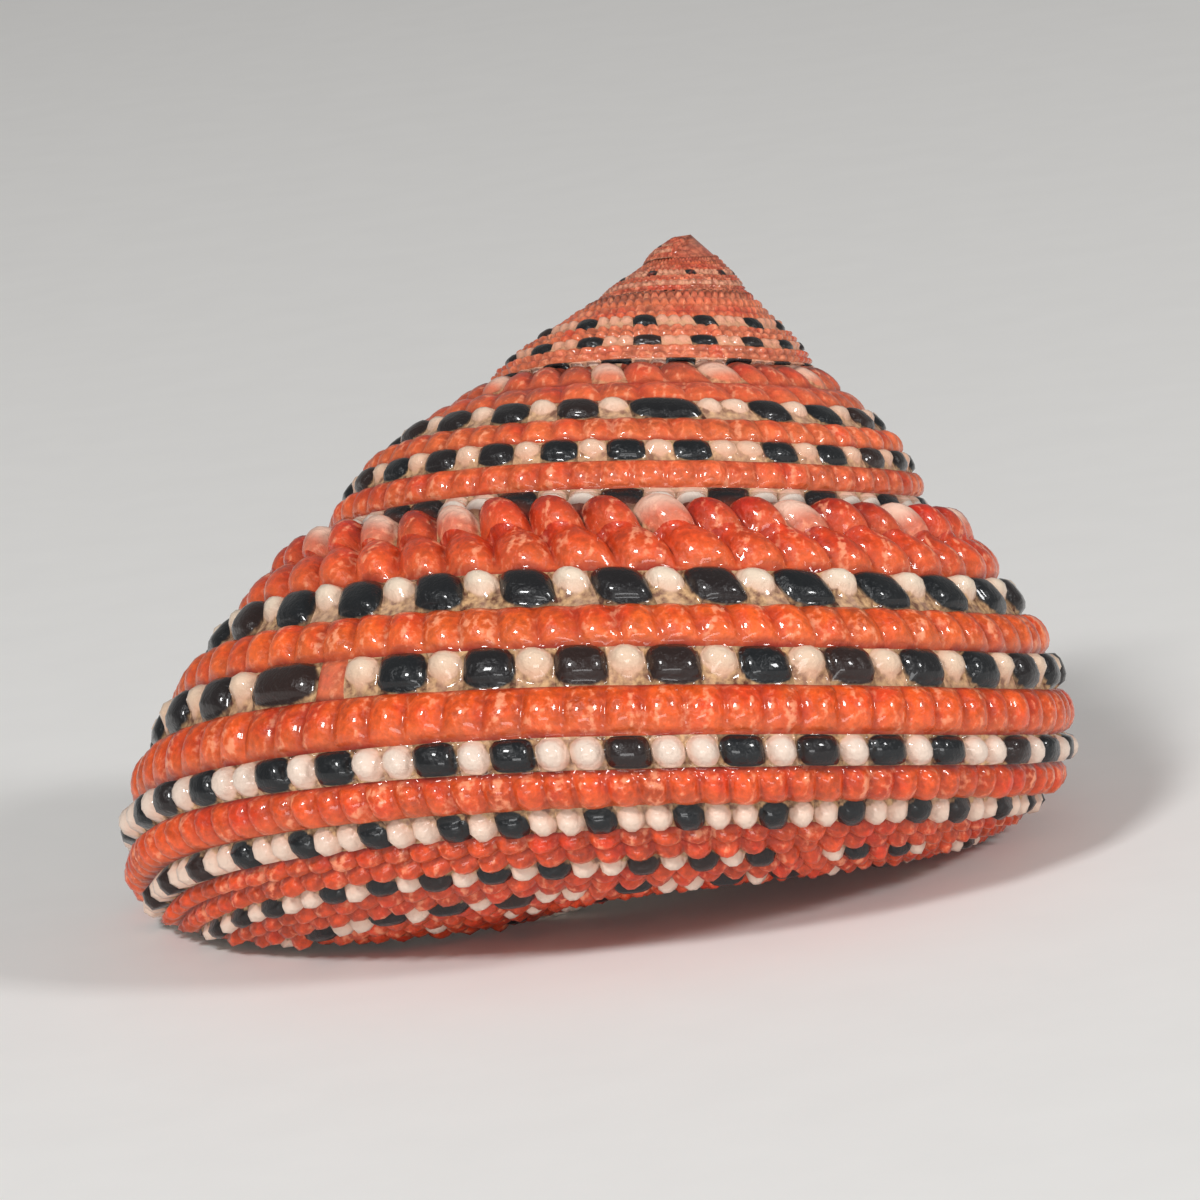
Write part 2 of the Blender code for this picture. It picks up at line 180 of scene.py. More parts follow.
# %% The table of rows, from the seam down to the rim of the umbilicus
# A row has a name, its lower edge and the height of its beads in mm, the length in turns of a red, a pale
# and a dark bead, how fast that grows up the spire, how deep the gaps are, and its strings.
Row = namedtuple("Row", "name lower height lengths fade gap strings")
NODULES = (
    (-3.7, "r"), (-1.42, "prrr"), (-0.9687, "prrr"), (-0.8594, "prrr"), (-0.7577, "prrr"), (-0.0318, "prr"),
    (0.0482, "prr"), (0.1185, "prr"), (0.1854, "prrr"), (0.286, "pr"), (0.331, "pr"), (0.377, "prr"),
)
UNDER_NODULES = tuple((start, rhythm.replace("p", "r")) for start, rhythm in NODULES)
ROWS = [
    Row("A", 1.50, 0.58, (0.0236, 0.0236, 0), 0.20, 1.0, NODULES),
    Row("B", 2.72, 0.42, (0.0236, 0, 0), 0.20, 1.0, UNDER_NODULES),
    Row("C", 3.80, 0.37, (0, 0.0150, 0.0213), 0.27, 1.0, (
        (-3.7, "dppppp"), (-2.3, "dppp"), (-1.42, "dp"), (-0.8048, "p."), (-0.7884, "d."), (-0.742, "pd"),
        (0.2538, "pd"),
    )),
    Row("D", 4.92, 0.35, (0.0142, 0, 0), 0.25, 0.6, ((-3.7, "r"),)),
    Row("E", 5.88, 0.37, (0, 0.0135, 0.0187), 0.15, 1.0, (
        (-3.7, "p"), (-2.3, "dpp"), (-1.42, "pd"), (-0.7935, "pd"), (0.2469, "pdpdpd"), (0.3411, "p."),
        (0.3545, "s."), (0.3665, "d."), (0.3970, "pd"),
    )),
    Row("F", 7.05, 0.35, (0.0134, 0, 0), 0.25, 0.6, ((-3.7, "r"),)),
    Row("G", 7.82, 0.42, (0, 0.0113, 0.0152), 0.40, 1.0, (
        (-3.7, "p"), (-2.3, "ppd"), (-0.6, "dppdpdpdpd"), (0.0196, "pd"), (0.0821, "pdppdpdpdpd"),
        (0.2313, "ppdppdpdppdpdppdpdpd"),
    )),
    Row("H", 8.72, 0.42, (0.0103, 0, 0), 0.30, 0.6, ((-0.6, "r"),)),
    Row("I", 9.38, 0.40, (0, 0.0099, 0.0116), 0.40, 1.0, (
        (-0.6, "dppdppdpdpp"), (0.2688, "ppdppdppdpdppdppdppdppd"),
    )),
    Row("J", 9.80, 0.34, (0.0114, 0, 0), 0.30, 0.8, ((-0.6, "r"),)),
    Row("K", 10.27, 0.34, (0.0114, 0, 0), 0.30, 0.8, ((-0.594, "r"),)),
    Row("L", 10.72, 0.34, (0.0110, 0.0112, 0.0136), 0.30, 1.0, (
        (-0.6, "dprrpdrrpdprrpdr"), (0.3, "dpdpdppdpdp"),
    )),
    Row("M", 11.14, 0.29, (0.0120, 0, 0), 0.30, 0.8, ((-0.6, "r"),)),
    Row("N", 11.56, 0.29, (0.0120, 0, 0), 0.30, 0.8, ((-0.594, "r"),)),
    Row("O", 12.06, 0.32, (0.0120, 0.0128, 0.0205), 0.30, 1.0, (
        (-0.6, "prrdrrpprdrrprd"), (0.33, "pdppdrppdpd"),
    )),
    Row("P", 12.58, 0.28, (0.0132, 0, 0), 0.30, 0.8, ((-0.6, "r"),)),
    Row("Q", 13.10, 0.28, (0.0132, 0, 0), 0.30, 0.8, ((-0.594, "r"),)),
    Row("R", 13.62, 0.25, (0.0130, 0.0138, 0.0170), 0.30, 1.0, ((-0.6, "rprrdrrpprr"),)),
    Row("S", 14.16, 0.22, (0.0145, 0, 0), 0.30, 0.8, ((-0.6, "r"),)),
    Row("T", 14.68, 0.22, (0.0145, 0, 0), 0.30, 0.8, ((-0.593, "r"),)),
    Row("U", 15.24, 0.25, (0.0145, 0.0155, 0.0180), 0.30, 1.0, ((-0.6, "rprrdr"),)),
    Row("V", 16.00, 0.23, (0.0165, 0, 0), 0.30, 0.8, ((-0.6, "r"),)),
    Row("W", 16.85, 0.32, (0, 0.0210, 0), 0.30, 1.0, ((-0.6, "p"),)),
]
print("rows:", " ".join(row.name for row in ROWS))

# %% From strings to beads
EARLY_LENGTHS = {"r": 0.0150, "p": 0.0165, "d": 0.0300}
EARLY_FROM, EARLY_FULL = -1.1, -1.7


def smooth(value, low, high):
    """0 up to low, 1 from high on, and an even rise between them."""
    share = np.clip((value - low) / (high - low), 0, 1)
    return share * share * (3 - 2 * share)


def bead_length(row, letter, station):
    """A bead's length in turns. On the first whorls all beads are tiny."""
    grown = row.lengths["rpd".index(letter)] * math.exp(-row.fade * (station - REFERENCE))
    early = float(smooth(-station, -EARLY_FROM, -EARLY_FULL))
    return grown + early * (EARLY_LENGTHS[letter] - grown)


def string_beads(row, last):
    """Every bead of a row as (start, end, letter). Each string repeats until the next one starts."""
    beads = []
    stops = [start for start, _ in row.strings[1:]] + [last]
    for (start, rhythm), stop in zip(row.strings, stops):
        if rhythm.endswith("."):
            beads.append((start, stop, rhythm[0]))
            continue
        here = start
        string = []
        while here < stop:
            letter = rhythm[len(string) % len(rhythm)]
            string.append((here, here + bead_length(row, letter, here), letter))
            here = string[-1][1]
        if here - stop > stop - string[-1][0] and len(string) > 1:
            string.pop()
        stretch = (stop - start) / (string[-1][1] - start)
        for here, there, letter in string:
            beads.append((start + (here - start) * stretch, start + (there - start) * stretch, letter))
    return beads


print("beads in row A, tip to lip:", len(string_beads(ROWS[0], LIP)))

# %% [markdown]
# ## The flat pattern
#
# The skin is drawn flat first, as a dressmaker would: along one side the station, down the other the
# distance from the seam. Every row gets its own columns, so that each bead has a neat patch of faces of
# its own, and where two rows meet their columns are zipped together with triangles. What a vertex needs
# to know to find its place in the coil is kept with it as attributes.

# %% Lines of vertices
Line = namedtuple("Line", "turn arc vertex")


def ends_joined(*lines):
    """Several lines end to end as one."""
    return Line(*(np.concatenate(parts) for parts in zip(*lines)))


def cut(line, start=None, stop=None):
    """A piece of a line."""
    return Line(*(part[start:stop] for part in line))


print("a line knows each vertex's", ", ".join(Line._fields))

# %% A collector for the pattern's vertices and faces
PILLAR_ARC = 6.0
SKIN, LIME, PEARL = range(3)
NO_BEAD, PLAIN = (1.0, 1.0, 0.0), (1.0, 2.0, 0.0)


class Pattern:
    """Vertices with what they are told, and faces with their colour and place in a bead."""

    def __init__(self):
        self.told = {name: [] for name in ("turns", "here", "there", "wall", "bead", "form")}
        self.numbers = []
        self.faces = []
        self.cells = []
        self.tones = []
        self.parts = []
        self.count = 0

    def tell(self, size, number, **told):
        """Adds vertices and returns their places in the list."""
        self.numbers.append(np.broadcast_to(number, size))
        for name, columns in told.items():
            self.told[name].append(np.column_stack([np.broadcast_to(c, size) for c in columns]))
        places = np.arange(self.count, self.count + size)
        self.count += size
        return places

    def line(self, turn, arc, lift=0.0, bead=NO_BEAD, form=PLAIN, number=0):
        """A line of vertices on the skin, each at its turn of the coil and its distance from the seam."""
        turn = np.atleast_1d(np.asarray(turn, float))
        arc = np.broadcast_to(np.asarray(arc, float), len(turn))
        vertex = self.tell(
            len(turn),
            number,
            turns=(turn, turn + trailing(arc), arc),
            here=shares_at(arc).T,
            there=shares_at(arc + NUDGE).T,
            wall=(0.0, lift, 0.0),
            bead=bead,
            form=form,
        )
        return Line(turn, arc, vertex)

    def pillar(self, turn, climb, inset=0.0):
        """A line on the pillar round the umbilicus, climbing from this rim to the one before."""
        turn = np.atleast_1d(np.asarray(turn, float))
        climb = np.broadcast_to(climb, len(turn))
        arc = RIM_ARC + climb * PILLAR_ARC
        rim = shares_at(np.full(len(turn), RIM_ARC)).T
        vertex = self.tell(
            len(turn),
            0,
            turns=(turn, turn + TRAIL, arc),
            here=rim,
            there=rim,
            wall=(climb, -np.asarray(inset), 1.0),
            bead=NO_BEAD,
            form=PLAIN,
        )
        return Line(turn, arc, vertex)

    def on_axis(self, station, depth_share):
        """A single vertex on the axis of the coil."""
        radius, _ = suture(station)
        next_radius, _ = suture(station + 1)
        shares = (-radius / (next_radius - radius), depth_share, 0.0)
        turns, wall = (station, station, 0.0), (0.0, 0.0, 0.0)
        vertex = self.tell(1, 0, turns=turns, here=shares, there=shares, wall=wall, bead=NO_BEAD, form=PLAIN)
        return int(vertex[0])

    def face(self, corners, cells=None, tone=(0.0, 0.0, 0.0), part=SKIN):
        """Adds a face, unless two of its corners are the same vertex."""
        if len(set(corners)) == len(corners):
            self.faces.append(corners)
            self.cells.extend(cells or [(0.5, 0.5)] * len(corners))
            self.tones.append(tone)
            self.parts.append(part)

    def fan(self, loop, centre, part=SKIN):
        """Closes a loop of vertices with triangles to a centre."""
        for here, there in zip(loop, loop[1:] + loop[:1]):
            self.face((int(here), int(there), centre), part=part)


print("a vertex is told:", ", ".join(Pattern().told))

# %% [markdown]
# ## Laying out the rows
#
# A bead's patch has more columns the longer the bead is. They crowd a little towards the bead's ends,
# where a dome falls away fastest. The growth lines lean. The flank's beads follow most of that lean, but
# the base's stand almost upright in their row. So each row's own columns take their own part of it, and
# only the row's two ends follow it in full.

# %% How the skin lies under the beads
# Here and below, EARLY_SHAPE, TIP_SHAPE and YOUNG_GAPS count turns up the spire from station 0.
GROOVE = 0.12
SEAM_STRIP, SEAM_STRIP_WIDENS = (0.08, 0.40), (-0.8, 0.0)
EARLY_FILL, EARLY_FLATTEN, EARLY_SHAPE = 0.35, 0.8, (0.7, 1.9)
TIP_SWELL, TIP_SHAPE = 0.12, (2.7, 3.5)
END_FADE = 0.012
CORNER_REACH, CORNER_EDGE = 2.5, 0.6


def seam_strip_depth(station):
    """Width of the bare strip under the seam, which is wider on the later whorls."""
    return SEAM_STRIP[0] + (SEAM_STRIP[1] - SEAM_STRIP[0]) * smooth(station, *SEAM_STRIP_WIDENS)


def skin_lift(station, arc):
    """The groove's depth below the outline. The first whorls have flatter flanks and filled seams."""
    share = np.clip(arc / SEAM_ARC, 0, 1)
    early = smooth(-station, *EARLY_SHAPE)
    swell = TIP_SWELL * smooth(-station, *TIP_SHAPE)
    return swell + (early * (EARLY_FILL - EARLY_FLATTEN * 4 * share * (1 - share)) - GROOVE) * growth(station)


def base_start(arc):
    """Where the base comes out of the mouth. Near the periphery it starts a little later."""
    return LIP - 1 + LEAD * np.clip(1 - (arc - SEAM_ARC) / CORNER_REACH, 0, 1)


def open_share(station, arc):
    """Beads sink into the skin where they meet the lip or the corner of the mouth."""
    at_lip = smooth(LIP - station, 0, END_FADE)
    at_corner = smooth(np.abs(station - base_start(arc)), 0, END_FADE)
    return at_lip * np.where(arc > SEAM_ARC - CORNER_EDGE, at_corner, 1.0)


print("groove under the outline at the tip and at the lip:", skin_lift(np.array([FIRST, LIP]), 0.0).round(3))

# %% How a bead is divided and shaped
CELL, CELLS_IN_BEAD = 0.115, (3, 12)
SLIVER = 0.2 * CELL / 60
LINE_STEP, HALF_LINES = 0.145, (2, 4)
FLANK_END = 7.05
FLANK_LEAN, BASE_LEAN = 0.75, 0.12
RISE = {"r": 1.0, "p": 1.0, "d": 0.92, "s": 0.3}
SQUARE = {"r": 2.1, "p": 2.1, "d": 3.4, "s": 2.0}
SCAR_GAP, FULL_GAP = 0.2, 0.99
YOUNG_GAPS = (0.2, 1.0)
FREE_BELOW = {"C": 0.38, "E": 0.25}
MERGED_SIDE, MERGED_REACH, MERGED_FROM = {"A": 1, "B": -1}, 0.7, -0.4
YOUNG_NODULES, NODULES_GROW = 0.6, (-0.8, -0.2)
EARLY_RISE = 0.4
GRANULES_BEFORE = {"r": -1.42, "p": -2.3}
PAST_LIP, BEFORE_TIP = 0.06, 0.02
NUMBERS_PER_ROW = 1000


def crowded(steps):
    """Places from -1 to 1, closer together at both ends."""
    even = np.linspace(-1, 1, steps + 1)
    return 0.5 * even - 0.5 * np.cos(math.pi * (even + 1) / 2)


def line_count(width):
    """An even number of steps across a row, so that one line runs along its middle."""
    return 2 * int(np.clip(round(width / LINE_STEP / 2), *HALF_LINES))


print("a row 1 mm wide has", line_count(1.0), "steps across, at", crowded(line_count(1.0)).round(2))

# %% One row of beads on the pattern
class Strip:
    """A row's beads and columns, between the ends of the coil that it covers."""

    def __init__(self, row, upper, first, last, keep=()):
        self.row = row
        self.upper = upper
        self.middle = (upper + row.lower) / 2
        self.lean = FLANK_LEAN if upper < FLANK_END else BASE_LEAN
        beads = [bead for bead in string_beads(row, last + PAST_LIP) if bead[1] > first - BEFORE_TIP]
        self.starts = np.array([bead[0] for bead in beads])
        self.ends = np.array([bead[1] for bead in beads])
        self.letters = "".join(bead[2] for bead in beads)
        self.numbers = np.arange(len(beads)) + NUMBERS_PER_ROW * (1 + ROWS.index(row))
        self.keep = [turn + self.trail(arc) for turn, arc in keep]
        columns = []
        for start, end in zip(self.starts, self.ends):
            radius = place((start + end) / 2, shares_at(np.array([self.middle])))[0][0]
            steps = int(np.clip(round((end - start) * 2 * math.pi * radius / CELL), *CELLS_IN_BEAD))
            columns.extend((start + end) / 2 + crowded(steps)[:-1] * (end - start) / 2)
        self.columns = np.array(columns)
        for kept in self.keep:
            self.columns[np.argmin(np.abs(self.columns - kept))] = kept

    def trail(self, arc):
        """How far this row's own columns trail: its middle's growth line, with a part of the lean."""
        middle = trailing(self.middle)
        return middle + self.lean * (trailing(arc) - middle)

    def arcs(self, place, across):
        """The distances from the seam."""
        upper = seam_strip_depth(place) if self.row.name == "A" else self.upper + 0 * place
        return upper + (across + 1) / 2 * (self.row.lower - upper)

    def line(self, pattern, across, start, end, arc=None):
        """A line of the row's vertices. start and end give the stations at its ends."""
        arc_at = (lambda place: self.arcs(place, across)) if arc is None else (lambda place: arc + 0 * place)
        ends = []
        for station in (start, end):
            near = arc_at(np.array([station]))[0]
            ends.append(station - trailing(near) + self.trail(near))
        inner = self.columns[(self.columns > ends[0] + SLIVER) & (self.columns < ends[1] - SLIVER)]
        place = np.concatenate([ends[:1], inner, ends[1:]])
        arcs = arc_at(place)
        bead = self.bead_at(place)
        along = self.along_at(place, bead)
        letters = np.array(list(self.letters))[bead]
        size = growth(place)
        early = smooth(-place, -EARLY_FROM, -EARLY_FULL)
        rise = self.row.height * size * np.vectorize(RISE.get)(letters) * (1 + EARLY_RISE * early)
        if self.row.name in MERGED_SIDE:
            rise = rise * (YOUNG_NODULES + (1 - YOUNG_NODULES) * smooth(place, *NODULES_GROW))
        rise = rise * open_share(place - self.trail(arcs) + trailing(arcs), arcs)
        square = np.vectorize(SQUARE.get)(letters)
        young = smooth(-place, *YOUNG_GAPS)
        gap = np.where(letters == "s", SCAR_GAP, self.row.gap + young * (1 - self.row.gap))
        down = np.array([self.down_at(across, number) for number in bead])
        return pattern.line(
            place - self.trail(arcs),
            arcs,
            lift=skin_lift(place, arcs),
            bead=(along, down, rise),
            form=(gap, square, np.where(gap < FULL_GAP, 0.0, 1.0)),
            number=self.numbers[bead],
        )

    def bead_at(self, place):
        """Which bead a place lies in."""
        return np.clip(np.searchsorted(self.starts, place, side="right") - 1, 0, len(self.starts) - 1)

    def along_at(self, place, bead):
        """A place along its bead, from -1 to 1."""
        middle = (self.starts[bead] + self.ends[bead]) / 2
        half = (self.ends[bead] - self.starts[bead]) / 2
        return np.clip((place - middle) / half, -1, 1)

    def down_at(self, across, bead):
        """A place across its bead, which may leave its lower part free, join the next row, or be split."""
        letter = self.letters[bead]
        free = FREE_BELOW.get(self.row.name, 0.0) if letter == "p" else 0.0
        own = min(1.0, (across + 1) / (1 - free) - 1)
        if own * MERGED_SIDE.get(self.row.name, 0) > 0 and self.starts[bead] > MERGED_FROM:
            own *= MERGED_REACH
        granular = self.starts[bead] < GRANULES_BEFORE.get(letter, FIRST - 1)
        return 2 * abs(own) - 1 if granular else own


print("row A has", len(Strip(ROWS[0], 0.4, FIRST, LIP).columns), "columns")

# %% Joining two lines
TONES = {"r": (0.0, 0.0), "p": (1.0, 0.0), "d": (0.0, 1.0), "s": (0.15, 0.0)}
SAME_PLACE = 1e-7


def paint(strip, places, sides):
    """The bead that a face lies in: the corners' places in it, its tone and its number."""
    bead = strip.bead_at(sum(places) / len(places))
    letter = strip.letters[bead]
    along = strip.along_at(np.asarray(places), bead)
    cells = [((a + 1) / 2, (strip.down_at(b, bead) + 1) / 2) for a, b in zip(along, sides)]
    return cells, (*TONES[letter], float(strip.numbers[bead]))


def join(pattern, upper, lower, strip=None, across=(0.0, 0.0), part=SKIN, whorl=0):
    """Joins two lines: a square where the columns meet, and triangles where they don't."""
    above, below = upper.turn - whorl, lower.turn - whorl
    if strip is not None:
        above = above + strip.trail(np.zeros(1) + SEAM_ARC if whorl else upper.arc)
        below = below + strip.trail(np.zeros(1) + SEAM_ARC if whorl else lower.arc)
    lines = (upper, lower)
    i = j = 0
    while i < len(above) - 1 or j < len(below) - 1:
        more_above = i < len(above) - 1
        more_below = j < len(below) - 1
        meet = more_above and more_below
        if meet and abs(above[i] - below[j]) + abs(above[i + 1] - below[j + 1]) < SAME_PLACE:
            corners = ((0, i), (0, i + 1), (1, j + 1), (1, j))
            i += 1
            j += 1
        elif more_above and (not more_below or above[i + 1] <= below[j + 1]):
            corners = ((0, i), (0, i + 1), (1, j))
            i += 1
        else:
            corners = ((0, i), (1, j + 1), (1, j))
            j += 1
        vertices = tuple(int(lines[side].vertex[k]) for side, k in corners)
        if strip is None:
            pattern.face(vertices, part=part)
        else:
            places = [float((above, below)[side][k]) for side, k in corners]
            pattern.face(vertices, *paint(strip, places, [across[side] for side, _ in corners]), part)


print("tones:", TONES)

# %% [markdown]
# ## The flank
#
# The top line of each whorl is the periphery line of the whorl above, so those vertices are shared and
# the skin is one piece from the tip to the lip. Only the first turn has a top line of its own. A narrow
# strip under the seam still shows the row above, before the beads of row A rise out of it.

# %% The line that each whorl shares with the one above
pattern = Pattern()
FIRST_TURN_POINTS = 59
SEAM_LINES = 3
SEAM_SINK = 0.16
SEAM_BEADS = (1.0, 2.2, 1.0)
SEAM_END = LIP - 1 + LEAD
flank_rows = [row for row in ROWS if row.lower <= FLANK_END]
periphery = next(row for row in ROWS if row.name == "G")
edge_strip = Strip(periphery, FLANK_END, FIRST, LIP, keep=[(SEAM_END, SEAM_ARC)])
seam_across = 2 * (SEAM_ARC - FLANK_END) / (periphery.lower - FLANK_END) - 1
seam_line = edge_strip.line(pattern, seam_across, FIRST, LIP, arc=SEAM_ARC)
last_hidden = int(np.argmin(np.abs(seam_line.turn - SEAM_END)))
hidden, shown = cut(seam_line, stop=last_hidden + 1), cut(seam_line, start=last_hidden)
first_turn = np.linspace(FIRST + LEAD, FIRST + 1, FIRST_TURN_POINTS + 1)[:-1]
top_line = pattern.line(first_turn, 0.0, lift=skin_lift(first_turn, 0 * first_turn))
line = ends_joined(top_line, Line(hidden.turn + 1, 0 * hidden.turn, hidden.vertex))
held_place = line.turn - 1 + edge_strip.trail(SEAM_ARC)
held_bead = edge_strip.bead_at(held_place)
held_along = edge_strip.along_at(held_place, held_bead)
held_rise = np.where(line.turn > FIRST + 1, periphery.height, 0) * growth(line.turn - 1)
held_rise = held_rise * smooth(np.abs(line.turn - 1 - SEAM_END), 0, END_FADE)
edges = {"lip": [(0.0, line.vertex[-1])], "tip": [line.vertex[0]], "base": []}
print("top line:", len(line.turn), "vertices,", len(hidden.turn), "of them shared")


# %% The strip under the seam
def note_ends(line, place):
    """Keeps a line's two ends for closing the tip and the lip."""
    edges["tip"].append(line.vertex[0])
    edges["lip"].append((place, line.vertex[-1]))


for k in range(1, SEAM_LINES + 1):
    share = k / SEAM_LINES
    arc = share * seam_strip_depth(line.turn)
    turn = line.turn.copy()
    turn[0] = FIRST - trailing(arc[0])
    turn[-1] = LIP - trailing(arc[-1])
    lift = skin_lift(line.turn, arc) - SEAM_SINK * share * growth(line.turn - 1)
    across = [min(1.0, seam_across + step / SEAM_LINES) for step in (k - 1, k)]
    below = pattern.line(turn, arc, lift, bead=(held_along, across[1], held_rise), form=SEAM_BEADS)
    join(pattern, line, below, edge_strip, across, whorl=1)
    line = below
    note_ends(line, SEAM_STRIP[1] * share)
print("seam strip:", len(pattern.faces), "faces")

# %% The rows of the flank, from the tip to the lip
upper = SEAM_STRIP[1]
for row in flank_rows:
    strip = Strip(row, upper, FIRST, LIP)
    places = crowded(line_count(row.lower - upper))
    for k in range(1, len(places)):
        below = strip.line(pattern, places[k], FIRST, LIP)
        join(pattern, line, below, strip, (places[k - 1], places[k]))
        line = below
        note_ends(line, upper + (places[k] + 1) / 2 * (row.lower - upper))
    upper = row.lower
for share in (0.5, 1.0):
    across = -1 + share * (seam_across + 1)
    arc = FLANK_END + share * (SEAM_ARC - FLANK_END)
    below = seam_line if share == 1 else edge_strip.line(pattern, across, FIRST, LIP, arc=arc)
    join(pattern, line, below, edge_strip, (across - 0.5 * (seam_across + 1), across))
    line = below
    note_ends(line, arc)
print("flank:", pattern.count, "vertices,", len(pattern.faces), "faces")

# %% [markdown]
# ## The base
#
# Under the periphery only the last turn is in the open. It starts where the shell's own mouth covers the
# rest, and its finer rows run on to a white, crenulated rim round the umbilicus.

# %% The base, from the periphery to the rim
RIM_STEPS = 48
PERIPHERY_LINES = 4
RIM_LINES = ((17.1, 0.02), (17.4, 0.06), (17.65, 0.02))
line = shown
edges["base"].append((SEAM_ARC, line.vertex[0]))
upper = FLANK_END
for row in ROWS[ROWS.index(periphery) :]:
    strip = edge_strip if row is periphery else Strip(row, upper, LIP - 1, LIP)
    places = crowded(line_count(row.lower - upper))
    if row is periphery:
        places = np.linspace(seam_across, 1, PERIPHERY_LINES + 1)
    for k in range(1, len(places)):
        arc = upper + (places[k] + 1) / 2 * (row.lower - upper)
        below = strip.line(pattern, places[k], base_start(arc), LIP, arc=arc)
        join(pattern, line, below, strip, (places[k - 1], places[k]))
        line = below
        edges["base"].append((arc, line.vertex[0]))
        edges["lip"].append((arc, line.vertex[-1]))
    upper = row.lower
for arc, lift in RIM_LINES:
    below = pattern.line(np.linspace(LIP - 1, LIP, 2 * RIM_STEPS + 1) - trailing(arc), arc, lift=lift)
    join(pattern, line, below, part=LIME)
    line = below
    edges["base"].append((arc, line.vertex[0]))
    edges["lip"].append((arc, line.vertex[-1]))
print("with the base:", pattern.count, "vertices,", len(pattern.faces), "faces")

# %% [markdown]
# ## The umbilicus
#
# The inner edges of the whorls wind round an open hollow. Its wall climbs from each rim to the rim of the
# turn before, over and over, so one helical strip makes it. It ends in a small fan where no eye reaches.

# %% The wall of the umbilicus
HOLLOW_TURNS = 2
CLIMBS = (0.12, 0.25, 0.4, 0.55, 0.7, 0.85)
FURROW = 0.05
turns_at = np.linspace(LIP - 1 - HOLLOW_TURNS, LIP, (HOLLOW_TURNS + 1) * RIM_STEPS + 1) - TRAIL
rim_line = pattern.pillar(turns_at, 0.0)
hollow = turns_at[RIM_STEPS:]
climbing = [cut(rim_line, start=RIM_STEPS)]
for k, climb in enumerate(CLIMBS):
    climbing.append(pattern.pillar(hollow, climb, FURROW * (-1) ** k))
climbing.append(Line(hollow, rim_line.arc[RIM_STEPS:], rim_line.vertex[:-RIM_STEPS]))
for lower, higher in zip(climbing, climbing[1:]):
    join(pattern, lower, higher, part=LIME)
join(pattern, line, cut(rim_line, start=-RIM_STEPS - 1), part=LIME)
hollow_end = list(climbing[-1].vertex[: RIM_STEPS + 1]) + [column.vertex[0] for column in climbing[1:-1]]
hollow_tip = pattern.on_axis(turns_at[0], GROWTH["Rim depth share"])
pattern.fan(hollow_end, hollow_tip, LIME)
edges["lip"].append((RIM_ARC, rim_line.vertex[-1]))
edges["lip"] += [(column.arc[-1], column.vertex[-1]) for column in climbing[1:-1]]
edges["lip"].append((RIM_ARC + PILLAR_ARC, rim_line.vertex[-RIM_STEPS - 1]))
edges["base"].append((RIM_ARC, rim_line.vertex[-RIM_STEPS - 1]))
print("round the umbilicus:", len(hollow), "columns")

# %% The tip
TIP_DOME = 0.2
first_step = float(suture(FIRST + 1)[1] - suture(FIRST)[1])
tip = pattern.on_axis(FIRST, -TIP_DOME / first_step)
pattern.fan(list(top_line.vertex) + edges["tip"][:0:-1], tip)
print("tip closed with", len(top_line.vertex) + len(edges["tip"]) - 1, "faces")

# %% [markdown]
# ## The mouth
#
# The lip is the section at the last station, given a thickness. Inside it stand a dozen short folds, and
# the foot of the pillar carries blunt teeth. Behind them the room of the animal winds back one turn, which
# is as far as light gets, and ends blind.

# %% The inner wall of the lip and the room
WALL, LIP_WALL = 0.75, 0.85
FOLDS, FOLD_HEIGHT, FOLD_LENGTH = 12, 0.22, 0.07
TOOTH_HEIGHT, TOOTH_LENGTH = 0.8, 0.1
TEETH = ((0.10, 0.045, 0.55), (0.29, 0.075, 1.0), (0.50, 0.05, 0.3))
WALL_ARCS = (1.2, RIM_ARC - 1.6)


def fading(back, length):
    """1 at the lip, and 0 from a distance of length turns inside it."""
    return 1 - smooth(back, 0, length)


def teeth(climb):
    """Height of the teeth up the pillar, as a share of the tallest."""
    return sum(height * np.exp(-(((climb - place) / width) ** 2)) for place, width, height in TEETH)


def wall_line(pattern, station, columns, climb, thickness=None):
    """The inner face of the outer wall and then of the pillar, at one station."""
    back = max(0.0, LIP - station)
    size = growth(station)
    arcs = np.linspace(*WALL_ARCS, columns)
    wall = (WALL + (LIP_WALL - WALL) * fading(back, FOLD_LENGTH)) * size
    folds = 0.5 - 0.5 * np.cos(2 * math.pi * FOLDS * np.linspace(0, 1, columns))
    wall = wall + FOLD_HEIGHT * folds * fading(back, FOLD_LENGTH)
    inset = WALL * size + teeth(climb) * TOOTH_HEIGHT * fading(back, TOOTH_LENGTH)
    if thickness is not None:
        wall = thickness * LIP_WALL
        inset = thickness * (WALL + 0.5 * teeth(climb) * TOOTH_HEIGHT)
    outer = pattern.line(station - trailing(arcs), arcs, lift=-wall)
    return ends_joined(outer, pattern.pillar(np.full(len(climb), station - TRAIL), climb, inset))


print("folds:", FOLDS, "of", FOLD_HEIGHT, "mm")

# %% The edge of the lip
# FINE and COARSE give the columns of the outer wall, those of the roof, and the climbs up the pillar.
CORNER_SLACK = 1.5
LIP_ROUND, LIP_EDGE = 0.004, 0.35
FINE = (97, 49, np.linspace(0.04, 0.62, 25))
COARSE = (33, 17, np.linspace(0.1, 0.6, 6))


def ordered(pairs, shift=0.0):
    """Edge vertices as a line that runs along the section, so that two of them can be joined."""
    place = np.array([float(pair[0]) for pair in pairs]) + shift
    return Line(place, place, np.array([int(pair[1]) for pair in pairs]))


def by_place(line):
    """The same line, ordered by its distance from the seam."""
    return Line(line.arc, line.arc, line.vertex)


